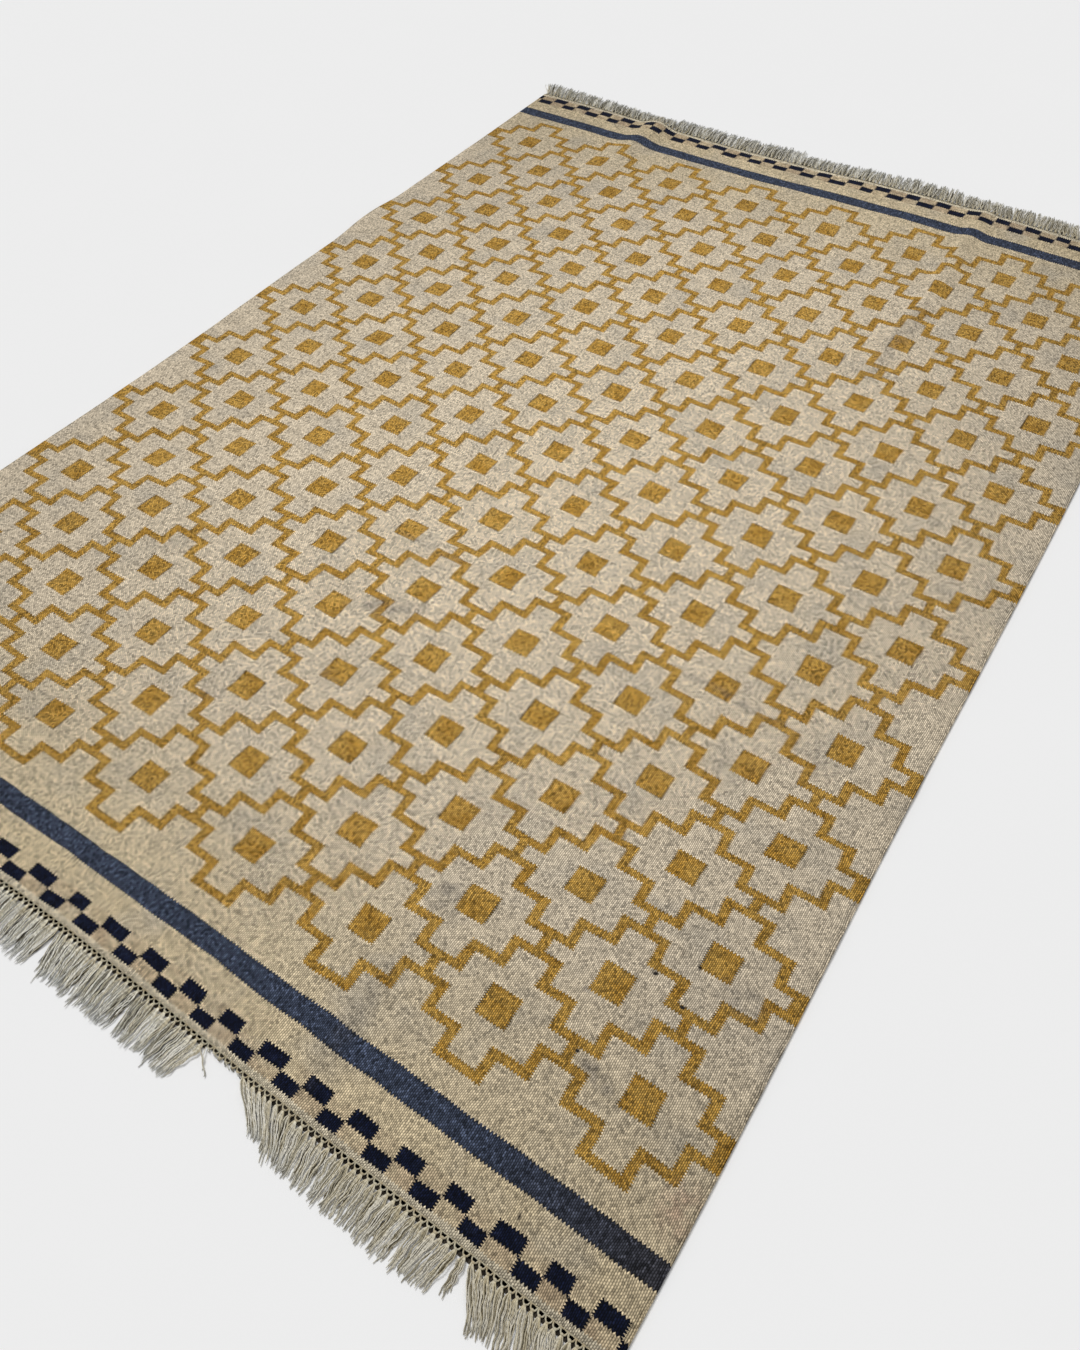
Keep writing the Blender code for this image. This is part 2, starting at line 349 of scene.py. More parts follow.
class NodeBench:
    """Makes one material and the nodes in it."""

    def __init__(self, name: str) -> None:
        """Start a material.

        Args:
            name: The material's name.
        """
        self.material = bpy.data.materials.new(name)
        self.material.use_nodes = True
        self.tree = self.material.node_tree
        self.shader = self.tree.nodes["Principled BSDF"]

    def _feed(self, socket: bpy.types.NodeSocket, value: Number) -> None:
        """Link a reading to a socket, or set a plain number on it.

        Args:
            socket: The input that takes the value.
            value: The reading or the plain number.
        """
        if isinstance(value, Reading):
            self.tree.links.new(value.socket, socket)
        else:
            socket.default_value = value

    def work(self, operation: str, *numbers: Number, clamp: bool = False) -> Reading:
        """Do one sum.

        Args:
            operation: Name of the Math node's operation.
            numbers: What goes in.
            clamp: Whether the result is kept from 0 to 1.

        Returns:
            The result.
        """
        node = self.tree.nodes.new("ShaderNodeMath")
        node.operation = operation
        node.use_clamp = clamp
        for i, number in enumerate(numbers):
            self._feed(node.inputs[i], number)
        return Reading(self, node.outputs[0])

    def least(self, first: Number, *others: Number) -> Reading:
        """Find the smallest of several numbers.

        Args:
            first: The first number.
            others: The other numbers.

        Returns:
            The smallest.
        """
        for other in others:
            first = self.work("MINIMUM", first, other)
        return first

    def most(self, first: Number, *others: Number) -> Reading:
        """Find the largest of several numbers.

        Args:
            first: The first number.
            others: The other numbers.

        Returns:
            The largest.
        """
        for other in others:
            first = self.work("MAXIMUM", first, other)
        return first

    def zigzag(self, number: Number, half_turn: float) -> Reading:
        """Fold a number so that it runs from 0 to half_turn and back."""
        return self.work("PINGPONG", number, half_turn)

    def cover(self, inside: Reading, softness: float = 0.8) -> Reading:
        """Share of a surface that a shape covers.

        Args:
            inside: Distance inside the shape's edge, below 0 outside.
            softness: Width over which the edge fades.

        Returns:
            0 outside, 1 inside.
        """
        return self.work("MULTIPLY_ADD", inside, 1.0 / softness, 0.5, clamp=True)

    def remap(self, number: Reading, low: float, high: float) -> Reading:
        """Share of the way from low to high, kept from 0 to 1."""
        return self.work("MULTIPLY_ADD", number, 1.0 / (high - low), -low / (high - low), clamp=True)

    def flat_map(self, name: str) -> tuple[bpy.types.NodeSocket, Reading, Reading]:
        """Read a UV map.

        Args:
            name: The map's name.

        Returns:
            The map as a vector, and its two numbers.
        """
        node = self.tree.nodes.new("ShaderNodeUVMap")
        node.uv_map = name
        parts = self.tree.nodes.new("ShaderNodeSeparateXYZ")
        self.tree.links.new(node.outputs[0], parts.inputs[0])
        return node.outputs[0], Reading(self, parts.outputs[0]), Reading(self, parts.outputs[1])

    def object_place(self) -> bpy.types.NodeSocket:
        """Read the place in the piece's own coordinates."""
        return self.tree.nodes.new("ShaderNodeTexCoord").outputs["Object"]

    def across(self, place: bpy.types.NodeSocket) -> Reading:
        """Take the distance across the rug from a place.

        Args:
            place: The place in the piece's own coordinates.

        Returns:
            Its distance across, in metres.
        """
        parts = self.tree.nodes.new("ShaderNodeSeparateXYZ")
        self.tree.links.new(place, parts.inputs[0])
        return Reading(self, parts.outputs[0])

    def joined(self, first: Number, second: Number, third: Number = 0.0) -> bpy.types.NodeSocket:
        """Put numbers together as a vector.

        Args:
            first, second, third: The numbers.

        Returns:
            The vector.
        """
        node = self.tree.nodes.new("ShaderNodeCombineXYZ")
        for socket, value in zip(node.inputs, (first, second, third)):
            self._feed(socket, value)
        return node.outputs[0]

    def drawn_noise(self, place: bpy.types.NodeSocket, scale: tuple[float, float, float],
                    detail: float = 2.0) -> Reading:
        """Soft noise that is drawn out along the axes, as fibres are.

        Args:
            place: Where it is read.
            scale: How many lumps there are to a metre on each axis.
            detail: How many finer layers it has.

        Returns:
            The noise, from 0 to 1, mostly near a half.
        """
        node = self.tree.nodes.new("ShaderNodeMapping")
        node.inputs["Scale"].default_value = scale
        self.tree.links.new(place, node.inputs["Vector"])
        return self.noise(node.outputs[0], 1.0, detail, "3D")

    def noise(self, vector: bpy.types.NodeSocket, scale: float, detail: float = 2.0,
              dimensions: str = "2D") -> Reading:
        """Soft noise.

        Args:
            vector: Where it is read.
            scale: How many lumps there are to a unit of the vector.
            detail: How many finer layers it has.
            dimensions: "2D" or "3D".

        Returns:
            The noise, from 0 to 1, mostly near a half.
        """
        return Reading(self, self._noise(vector, scale, detail, dimensions).outputs[0])

    def noise_pair(self, vector: bpy.types.NodeSocket, scale: float,
                   detail: float) -> tuple[Reading, Reading]:
        """Two separate soft noises from one node.

        Args:
            vector: Where they are read.
            scale: How many lumps there are to a unit of the vector.
            detail: How many finer layers they have.

        Returns:
            The two noises, from 0 to 1.
        """
        parts = self.tree.nodes.new("ShaderNodeSeparateColor")
        self.tree.links.new(self._noise(vector, scale, detail, "2D").outputs[1], parts.inputs[0])
        return Reading(self, parts.outputs[0]), Reading(self, parts.outputs[1])

    def _noise(self, vector: bpy.types.NodeSocket, scale: float, detail: float,
               dimensions: str) -> bpy.types.Node:
        """Make a noise node that reads a vector.

        Args:
            vector: Where it is read.
            scale: How many lumps there are to a unit of the vector.
            detail: How many finer layers it has.
            dimensions: "2D" or "3D".

        Returns:
            The node.
        """
        node = self.tree.nodes.new("ShaderNodeTexNoise")
        node.noise_dimensions = dimensions
        node.inputs["Scale"].default_value = scale
        node.inputs["Detail"].default_value = detail
        self.tree.links.new(vector, node.inputs["Vector"])
        return node

    def chance(self, vector: bpy.types.NodeSocket) -> Reading:
        """Random number that is the same wherever the vector is.

        Args:
            vector: What the number is drawn for.

        Returns:
            The number, from 0 to 1.
        """
        node = self.tree.nodes.new("ShaderNodeTexWhiteNoise")
        node.noise_dimensions = "2D"
        self.tree.links.new(vector, node.inputs["Vector"])
        return Reading(self, node.outputs[0])

    def mix(self, share: Number, under: Colour | bpy.types.NodeSocket,
            over: Colour | bpy.types.NodeSocket) -> bpy.types.NodeSocket:
        """Lay one colour over another.

        Args:
            share: How much of the upper colour shows.
            under: The lower colour.
            over: The upper colour.

        Returns:
            The mixed colour.
        """
        node = self.tree.nodes.new("ShaderNodeMix")
        node.data_type = "RGBA"
        self._feed(node.inputs[0], share)
        for socket, value in ((node.inputs[6], under), (node.inputs[7], over)):
            if isinstance(value, bpy.types.NodeSocket):
                self.tree.links.new(value, socket)
            else:
                socket.default_value = value
        return node.outputs[2]

    def dimmed(self, colour: bpy.types.NodeSocket, by: Reading) -> bpy.types.NodeSocket:
        """Multiply a colour by a number.

        Args:
            colour: The colour.
            by: The number.

        Returns:
            The lighter or darker colour.
        """
        node = self.tree.nodes.new("ShaderNodeVectorMath")
        node.operation = "SCALE"
        self.tree.links.new(colour, node.inputs[0])
        self.tree.links.new(by.socket, node.inputs[3])
        return node.outputs[0]

    def close(self, colour: bpy.types.NodeSocket, height: Reading, relief: float, roughness: float,
              sheen: float) -> bpy.types.Material:
        """Join colour and relief to the shader.

        Args:
            colour: The surface's colour.
            height: Its relief, from 0 to 1.
            relief: Depth of the relief, in metres.
            roughness: How matt it is.
            sheen: How much its fibres catch the light at a low angle.

        Returns:
            The finished material.
        """
        bump = self.tree.nodes.new("ShaderNodeBump")
        bump.inputs["Strength"].default_value = 1.0
        bump.inputs["Distance"].default_value = relief
        self.tree.links.new(height.socket, bump.inputs["Height"])
        self.tree.links.new(bump.outputs[0], self.shader.inputs["Normal"])
        self.tree.links.new(colour, self.shader.inputs["Base Color"])
        self.shader.inputs["Roughness"].default_value = roughness
        self.shader.inputs["Specular IOR Level"].default_value = 0.15
        self.shader.inputs["Sheen Weight"].default_value = sheen
        self.shader.inputs["Sheen Roughness"].default_value = 0.6
        return self.material


@dataclass(frozen=True)
class StainAndShade:
    """A soiled or faded place in the cloth, or soil with painted shade along a crease, in metres, its tilt in
    degrees.
    """

    s: float
    t: float
    reach_s: float
    reach_t: float
    tilt: float
    strength: float
    colour: Colour


GREY_SOIL_AND_SHADE = paint(96, 94, 96)
DARK_SOIL = paint(48, 44, 42)
PINK_SOIL = paint(188, 140, 122)

STAINS_AND_CREASE_SHADE = (
    StainAndShade(-0.020, -0.490, 0.085, 0.026, 25.0, 0.50, GREY_SOIL_AND_SHADE),
    StainAndShade(0.675, -0.960, 0.034, 0.014, 160.0, 0.75, GREY_SOIL_AND_SHADE),
    StainAndShade(0.777, -0.774, 0.045, 0.030, 0.0, 0.40, GREY_SOIL_AND_SHADE),
    # This and the next four lie along creases: soil with painted shade in the crease.
    StainAndShade(0.380, -0.860, 0.026, 0.045, 0.0, 0.42, GREY_SOIL_AND_SHADE),
    StainAndShade(0.386, -1.060, 0.022, 0.150, 2.0, 0.30, GREY_SOIL_AND_SHADE),
    StainAndShade(0.410, 0.640, 0.030, 0.160, 0.0, 0.36, GREY_SOIL_AND_SHADE),
    StainAndShade(0.560, -0.328, 0.130, 0.012, 0.0, 0.42, GREY_SOIL_AND_SHADE),
    StainAndShade(-0.060, -0.335, 0.150, 0.012, 0.0, 0.30, GREY_SOIL_AND_SHADE),
    StainAndShade(-0.005, -0.655, 0.030, 0.022, 0.0, 0.36, GREY_SOIL_AND_SHADE),
    StainAndShade(-0.140, -0.780, 0.028, 0.018, 20.0, 0.34, GREY_SOIL_AND_SHADE),
    StainAndShade(0.669, -0.804, 0.0055, 0.0045, 0.0, 1.6, DARK_SOIL),
    StainAndShade(0.720, -0.826, 0.0050, 0.0035, 0.0, 1.6, DARK_SOIL),
    StainAndShade(0.639, -0.947, 0.0035, 0.0035, 0.0, 1.5, DARK_SOIL),
    StainAndShade(0.714, -0.765, 0.0045, 0.0045, 0.0, 1.5, DARK_SOIL),
    StainAndShade(0.607, -0.873, 0.0090, 0.0060, 0.0, 0.6, GREY_SOIL_AND_SHADE),
    StainAndShade(0.830, -1.030, 0.030, 0.040, 0.0, 0.40, PINK_SOIL),
    StainAndShade(0.685, -1.135, 0.0025, 0.0075, 12.0, 1.0, DARK_SOIL),
)


@dataclass(frozen=True)
class CheckRow:
    """Edges of the dark and natural squares of a border, from left to right, in metres."""

    edges: tuple[float, ...]
    first_count: int

    def count(self, s: float) -> float:
        """Count the edges to the left of a place, and the share of the square that it is in.

        Args:
            s: Distance across the flat cloth.

        Returns:
            The count. Dark squares follow even counts.
        """
        i = min(max(bisect.bisect_right(self.edges, s), 1), len(self.edges) - 1)
        left, right = self.edges[i - 1], self.edges[i]
        return self.first_count + i - 1 + (s - left) / (right - left)


NEAR_CHECKS = CheckRow((
    -0.862, -0.826, -0.790, -0.752, -0.716, -0.680, -0.642, -0.606, -0.570, -0.531, -0.495, -0.458,
    -0.421, -0.386, -0.348, -0.310, -0.275, -0.238, -0.201, -0.162, -0.125, -0.082, -0.044, -0.015,
    0.019, 0.064, 0.0975, 0.137, 0.172, 0.207, 0.242, 0.278, 0.310, 0.352, 0.3885, 0.424, 0.456, 0.494,
    0.530, 0.5655, 0.600, 0.635, 0.667, 0.708, 0.740, 0.774, 0.804, 0.840,
), -19)

FAR_CHECKS = CheckRow((
    -0.876, -0.840, -0.803, -0.765, -0.7295, -0.692, -0.655, -0.622, -0.589, -0.551, -0.516, -0.486,
    -0.455, -0.4215, -0.384, -0.3465, -0.3105, -0.2705, -0.233, -0.1995, -0.1635, -0.129, -0.094, -0.056,
    -0.017, 0.0185, 0.0605, 0.099, 0.1315, 0.168, 0.2095, 0.2435, 0.2855, 0.3215, 0.3605, 0.393, 0.4305,
    0.4645, 0.5015, 0.538, 0.574, 0.6085, 0.645, 0.681, 0.7175, 0.754, 0.790, 0.827, 0.864,
), -1)


@dataclass(frozen=True)
class KilimChart:
    """Sizes of the woven pattern in millimetres of the flat cloth, charted from one repeat."""

    middle_s: float = 3.0
    repeat_s: float = 104.6
    repeat_t: float = 105.9
    square_s: float = 22.4
    square_t: float = 23.2
    link_from: float = 97.1
    link_t: float = 10.4
    link_overlap: float = 1.1
    step_from: float = 67.2
    step_to: float = 82.2
    bar_from: float = 46.5
    last_column: float = 8.0
    last_row: float = 9.5
    field_end: float = 1048.4
    near_stripe: tuple[float, float] = (-1113.0, -1081.0)
    far_stripe: tuple[float, float] = (1068.0, 1099.0)
    near_checks: tuple[float, float, float] = (-1188.0, -1169.5, -1149.5)
    far_checks: tuple[float, float, float] = (1136.5, 1154.5, 1172.5)
    check_width: float = 36.5
    rib: float = 2.6
    pick: float = 3.7
    slub: float = 7.8
    row_tooth: float = 2.55
    row_tooth_depth: float = 3.6
    side_tooth: float = 1.85
    side_tooth_depth: float = 4.2
    wander_s: float = 8.0
    wander_t: float = 5.0


@dataclass(frozen=True)
class KilimFinish:
    """The flat weave: its pattern, the yarns' shades, the ribs, the slits, the soil, and painted light and
    shade.

    row_tone and slub_tone hold the darkest tone and how far the lightest lies above it.
    """

    chart: KilimChart = KilimChart()
    cream: Colour = paint(223, 207, 181)
    cream_warm: Colour = paint(217, 198, 161)
    cream_grey: Colour = paint(188, 179, 163)
    check_natural: Colour = paint(182, 158, 129)
    end_strip: Colour = paint(226, 213, 186)
    ochre: Colour = paint(196, 155, 77)
    ochre_deep: Colour = paint(176, 133, 55)
    slate: Colour = paint(64, 72, 90)
    slate_grey: Colour = paint(60, 60, 66)
    navy: Colour = paint(13, 19, 40)
    navy_worn: Colour = paint(26, 32, 54)
    speck: Colour = paint(104, 92, 76)
    slit_shade: float = 0.72
    slit_depth: float = 0.9
    row_tone: tuple[float, float] = (0.94, 0.10)
    slub_tone: tuple[float, float] = (0.86, 0.28)
    bead_tone: float = 0.99
    relief: float = 0.0007
    roughness: float = 0.95

    def material(self) -> bpy.types.Material:
        """Make the weave's material.

        Returns:
            The material. It reads the UV maps "weave", s and t, and "checks", the squares' counts.
        """
        chart = self.chart
        bench = NodeBench("kilim_weave")
        flat, s_metres, t_metres = bench.flat_map("weave")
        _, near_count, far_count = bench.flat_map("checks")
        drift_s, drift_t = bench.noise_pair(flat, 17.0, 1.5)
        s_true = s_metres * 1000.0
        s = s_true + (drift_s - 0.5) * chart.wander_s
        t = t_metres * 1000.0 + (drift_t - 0.5) * chart.wander_t
        side_tooth = bench.zigzag(t, chart.side_tooth) * (1.0 / chart.side_tooth) - 0.5
        row_tooth = bench.zigzag(s, chart.row_tooth) * (1.0 / chart.row_tooth) - 0.5
        s_toothed = s + side_tooth * chart.side_tooth_depth
        t_toothed = t + row_tooth * chart.row_tooth_depth

        inside_ochre, inside_square, x = self._lattice(bench, s_toothed, t_toothed)
        inside_slate = bench.most(self._band(bench, t_toothed, *chart.near_stripe),
                                  self._band(bench, t_toothed, *chart.far_stripe))
        slide = (s_toothed - s_true) * (1.0 / chart.check_width)
        inside_navy = self._checks(bench, t_toothed, near_count + slide, far_count + slide)

        colour = self._cream_ground(bench, flat, t_toothed)
        tone_row = bench.noise(bench.joined(s_metres * 5.0, t_metres * 260.0), 1.0, 1.0)
        blot = bench.noise(flat, 30.0, 3.0)
        ochre = bench.mix(bench.remap(tone_row * 0.4 + blot * 0.6, 0.42, 0.64), self.ochre, self.ochre_deep)
        colour = bench.mix(bench.cover(bench.most(inside_ochre, inside_square)), colour, ochre)
        slate = bench.mix(bench.remap(s_metres, 0.60, 0.84), self.slate, self.slate_grey)
        colour = bench.mix(bench.cover(inside_slate), colour, slate)
        worn = bench.remap(bench.noise(flat, 60.0, 3.0), 0.50, 0.75)
        navy = bench.mix(worn, self.navy, self.navy_worn)
        colour = bench.mix(bench.cover(inside_navy), colour, navy)
        # stains, and soil with painted shade along the creases
        colour = self._stained_and_shaded(bench, colour, flat, s_metres, t_metres)

        all_ochre = bench.most(inside_ochre, inside_square)
        slit = self._slits(bench, flat, x, inside_square)
        shade, height = self._beads(bench, s, t)
        tone = self._bead_tone(bench, shade, height, bench.cover(all_ochre), bench.cover(inside_slate),
                               bench.cover(inside_navy))
        # painted highlights and shade where one colour meets another
        tone = tone * self._painted_edge_light(bench, all_ochre, bench.most(inside_navy, inside_slate))
        tone = tone * (1.0 - slit * self.slit_shade)
        tone = tone * (self.row_tone[0] + bench.remap(tone_row, 0.25, 0.75) * self.row_tone[1])
        tone = tone * (self.slub_tone[0] + self._slubs(bench, s, t) * self.slub_tone[1])
        # painted light falloff: lightest in the middle, darker toward the sides and ends
        tone = tone * self._painted_light_falloff(bench, s_metres, t_metres)
        height = height * (1.0 - slit * self.slit_depth)
        return bench.close(bench.dimmed(colour, tone), height, self.relief, self.roughness, 0.0)

    def _painted_edge_light(self, bench: NodeBench, inside_ochre: Reading, inside_dark: Reading) -> Reading:
        """Painted highlights on beads that stand proud and painted shade in pits that lie low where one
        colour meets another.

        Args:
            bench: Where the nodes go.
            inside_ochre: Distance inside the ochre, in millimetres.
            inside_dark: Distance inside the slate and navy, in millimetres.

        Returns:
            How much lighter or darker the weave is.
        """
        # painted shade along the ochre outlines
        seam_shade = bench.remap(abs(inside_ochre - 0.6), 1.7, 0.3) * 0.24
        # painted highlights on the beads just outside the slate, navy and ochre
        proud = bench.remap(inside_dark, -3.4, -1.6) * bench.remap(inside_dark, -0.2, -1.0) * 0.16
        proud = proud + bench.remap(inside_ochre, -3.2, -1.8) * bench.remap(inside_ochre, -0.3, -1.0) * 0.20
        # painted shade just inside the edges of the slate and navy
        low = bench.remap(abs(inside_dark - 1.0), 1.6, 0.4) * 0.45
        return 1.0 - seam_shade + proud - low

    def _band(self, bench: NodeBench, t: Reading, low: float, high: float) -> Reading:
        """Distance inside a band that runs across the rug."""
        return bench.least(t - low, high - t)

    def _lattice(self, bench: NodeBench, s: Reading, t: Reading) -> tuple[Reading, Reading, Reading]:
        """Stepped crosses and their middle squares, folded into a quarter of one repeat.

        Args:
            bench: Where the nodes go.
            s: Distance across, in millimetres.
            t: Distance along, in millimetres.

        Returns:
            Distance inside the outlines, inside the squares, and from a square's middle line.
        """
        chart = self.chart
        side = chart.last_column * chart.repeat_s
        from_middle = bench.least(bench.most(s - chart.middle_s, -side), side)
        x = bench.zigzag(from_middle, chart.repeat_s)
        y = bench.zigzag(t, chart.repeat_t)
        upper = bench.work("GREATER_THAN", y, chart.repeat_t / 2)
        x = x + upper * (chart.repeat_s - x * 2.0)
        y = bench.least(y, chart.repeat_t - y)
        link = bench.least(x - chart.link_from, chart.link_t + chart.link_overlap - y)
        ledge = bench.least(x - chart.step_from, y - chart.link_t, chart.square_t - y)
        riser = bench.least(x - chart.step_from, chart.step_to - x, y - chart.link_t)
        bar = bench.least(x - chart.square_s, chart.step_to - x, y - chart.bar_from)
        end = abs(t)
        outline = bench.least(bench.most(link, ledge, riser, bar), chart.field_end - end)
        square = bench.least(chart.square_s - x, chart.square_t - y)
        square = bench.least(square, side - chart.repeat_s / 2 - abs(from_middle))
        square = bench.least(square, chart.repeat_t * chart.last_row - end)
        return outline, square, x

    def _checks(self, bench: NodeBench, t: Reading, near_count: Reading, far_count: Reading) -> Reading:
        """Dark squares of the two borders.

        Args:
            bench: Where the nodes go.
            t: Distance along, in millimetres.
            near_count: Count of the near border's edges.
            far_count: Count of the far border's edges.

        Returns:
            Distance inside a dark square.
        """
        chart = self.chart
        near = bench.work("SINE", near_count * math.pi) * (chart.check_width / math.pi)
        far = bench.work("SINE", far_count * math.pi) * (chart.check_width / math.pi)
        low, middle, high = chart.near_checks
        outer = bench.least(near, self._band(bench, t, low, middle))
        inner = bench.least(-near, self._band(bench, t, middle, high))
        low, middle, high = chart.far_checks
        far_inner = bench.least(far, self._band(bench, t, low, middle))
        far_outer = bench.least(-far, self._band(bench, t, middle, high))
        return bench.most(outer, inner, far_inner, far_outer)

    def _cream_ground(self, bench: NodeBench, flat: bpy.types.NodeSocket,
                      t: Reading) -> bpy.types.NodeSocket:
        """Undyed wool of the ground, with its soil, its specks and the browner yarn of the borders.

        Args:
            bench: Where the nodes go.
            flat: The flat coordinates as a vector.
            t: Distance along, in millimetres.

        Returns:
            The ground's colour.
        """
        chart = self.chart
        beyond = abs(t)
        colour = bench.mix(bench.remap(beyond, 820.0, 1130.0) * 0.85, self.cream, self.cream_warm)
        soil = bench.remap(bench.noise(flat, 9.0, 5.0), 0.50, 0.76)
        colour = bench.mix(soil * 0.55, colour, self.cream_grey)
        rows = bench.most(self._band(bench, t, chart.near_checks[0], chart.near_checks[1]),
                          self._band(bench, t, chart.far_checks[0], chart.far_checks[2]))
        inner_row = self._band(bench, t, chart.near_checks[1], chart.near_checks[2])
        brown = bench.remap(bench.noise(flat, 22.0, 2.0), 0.34, 0.62)
        share = bench.most(bench.cover(rows) * (0.15 + brown * 0.55),
                           bench.cover(inner_row, 6.0) * brown * 0.40)
        colour = bench.mix(share, colour, self.check_natural)
        strip = bench.most(chart.near_checks[0] - t, t - chart.far_checks[2])
        colour = bench.mix(bench.cover(strip), colour, self.end_strip)
        specks = bench.remap(bench.noise(flat, 210.0, 2.0), 0.70, 0.80)
        return bench.mix(specks * 0.55, colour, self.speck)

    def _stained_and_shaded(self, bench: NodeBench, colour: bpy.types.NodeSocket, flat: bpy.types.NodeSocket,
                 s: Reading, t: Reading) -> bpy.types.NodeSocket:
        """Lay the stains over a colour.

        Args:
            bench: Where the nodes go.
            colour: The weave's colour.
            flat: The flat coordinates as a vector.
            s: Distance across, in metres.
            t: Distance along, in metres.

        Returns:
            The stained and shaded colour.
        """
        blotch = bench.remap(bench.noise(flat, 55.0, 3.0), 0.30, 0.62)
        for mark in STAINS_AND_CREASE_SHADE:
            turn = math.radians(mark.tilt)
            ds = s - mark.s
            dt = t - mark.t
            a = ds * (math.cos(turn) / mark.reach_s) + dt * (math.sin(turn) / mark.reach_s)
            b = dt * (math.cos(turn) / mark.reach_t) - ds * (math.sin(turn) / mark.reach_t)
            inside = bench.work("SUBTRACT", 1.0, a * a + b * b, clamp=True)
            colour = bench.mix(inside * (blotch * mark.strength), colour, mark.colour)
        return colour

    def _slits(self, bench: NodeBench, flat: bpy.types.NodeSocket, x: Reading, square: Reading) -> Reading:
        """Dark slits down the sides of the middle squares, where two colours turn back.

        Args:
            bench: Where the nodes go.
            flat: The flat coordinates as a vector.
            x: Distance from a square's middle line, in millimetres.
            square: Distance inside a square, in millimetres.

        Returns:
            0 on the weave, 1 in a slit.
        """
        line = bench.remap(abs(x - self.chart.square_s), 1.7, 0.5)
        open_here = bench.remap(bench.noise(flat, 12.0, 4.0), 0.46, 0.54)
        return line * bench.remap(square, -2.2, -0.8) * open_here

    def _beads(self, bench: NodeBench, s: Reading, t: Reading) -> tuple[Reading, Reading]:
        """Weft beads over the warp ribs, each rib half a bead on from the last.

        Args:
            bench: Where the nodes go.
            s: Distance across, in millimetres.
            t: Distance along, in millimetres.

        Returns:
            The bead's own chance shade, from 0 to 1, and the height of the weave.
        """
        rib = s * (1.0 / self.chart.rib)
        rib_number = bench.work("FLOOR", rib)
        pick = t * (1.0 / self.chart.pick) + rib_number * 0.5
        pick_number = bench.work("FLOOR", pick)
        shade = bench.chance(bench.joined(rib_number, pick_number))
        round_across = bench.work("SINE", (rib - rib_number) * math.pi)
        round_along = bench.work("SINE", (pick - pick_number) * math.pi)
        return shade, round_across * (0.35 + round_along * 0.65)

    def _slubs(self, bench: NodeBench, s: Reading, t: Reading) -> Reading:
        """Lighter and darker stretches of the weft yarn, a few beads long.

        Args:
            bench: Where the nodes go.
            s: Distance across, in millimetres.
            t: Distance along, in millimetres.

        Returns:
            The stretch's own chance shade, from 0 to 1.
        """
        weft = bench.work("FLOOR", t * (1.0 / self.chart.pick))
        stretch = bench.work("FLOOR", s * (1.0 / self.chart.slub) + weft * 0.37)
        return bench.chance(bench.joined(stretch, weft))

    def _bead_tone(self, bench: NodeBench, shade: Reading, height: Reading, ochre: Reading, slate: Reading,
                   navy: Reading) -> Reading:
        """Light on each bead: its crown is bright, its rim dark, and here and there one catches the light.

        Args:
            bench: Where the nodes go.
            shade: The bead's own chance shade.
            height: Height of the weave.
            ochre: How much of the surface is ochre.
            slate: How much of it is slate.
            navy: How much of it is navy.

        Returns:
            How much lighter or darker the weave is.
        """
        spread = 0.60 + ochre * 0.30 + (slate + navy) * 0.34
        depth = 1.25 + ochre * 0.25 + (slate + navy) * 0.40
        dull = bench.remap(shade, 0.13, 0.09) * 0.14
        tone = (1.0 + (height - 0.49) * depth) * (1.0 + (shade - 0.5) * spread - dull)
        glint = bench.remap(shade, 0.86, 0.92) * (slate * 1.3 + navy * 0.6)
        return tone * self.bead_tone + glint * height

    def _painted_light_falloff(self, bench: NodeBench, s: Reading, t: Reading) -> Reading:
        """Painted light falloff: the middle is lightest, the near right corner darkest.

        Args:
            bench: Where the nodes go.
            s: Distance across, in metres.
            t: Distance along, in metres.

        Returns:
            How much darker the weave is, 1 where it isn't.
        """
        tone = 1.0
        for place, reach, loss in ((s, 0.78, 0.23), (s, -0.78, 0.14), (t, 0.98, 0.14), (t, -0.98, 0.20)):
            share = bench.remap(place, 0.0, reach)
            tone = tone * (1.0 - share * share * loss)
        return tone


@dataclass(frozen=True)
class YarnFinish:
    """One shade of the undyed plied wool of the warp ends, from its knot to its tip."""

    name: str
    root: Colour
    wool: Colour
    tip: Colour
    root_share: float = 0.34
    tip_share: float = 0.62
    plies: float = 11.0
    # Painted shade toward the right: the yarns there are darker, and duller and yellower with dust.
    right_shade_loss: float = 0.12
    dust_and_shade: Colour = paint(190, 174, 134)
    dust_and_shade_share: float = 0.40
    roughness: float = 0.9

    def material(self) -> bpy.types.Material:
        """Make the yarn's material.

        Returns:
            The material. It reads how far along a yarn it is from the yarn's own map.
        """
        bench = NodeBench(self.name)
        place = bench.object_place()
        _, along, around = bench.flat_map("UVMap")
        patch = bench.drawn_noise(place, (60.0, 90.0, 60.0)) - 0.5
        colour = bench.mix(bench.remap(along + patch * 0.5, self.root_share, 0.0), self.wool, self.root)
        colour = bench.mix(bench.remap(along + patch * 0.8, self.tip_share, 1.0), colour, self.tip)
        ply = bench.work("SINE", (along * self.plies + around * 2.0) * math.tau)
        fibre = bench.drawn_noise(place, (1100.0, 500.0, 1100.0), 1.0)
        # dust with painted shade: darker and yellower toward the right
        right = bench.remap(bench.across(place), 0.15, 0.75)
        colour = bench.mix(right * self.dust_and_shade_share, colour, self.dust_and_shade)
        # painted shade: the ply's twist is lighter on its crests and darker in its grooves
        tone = 0.88 + ply * 0.14 + bench.remap(fibre, 0.3, 0.7) * 0.36
        tone = tone * (1.0 - right * self.right_shade_loss)
        return bench.close(bench.dimmed(colour, tone), ply * 0.5 + 0.5, 0.0004, self.roughness, 0.10)


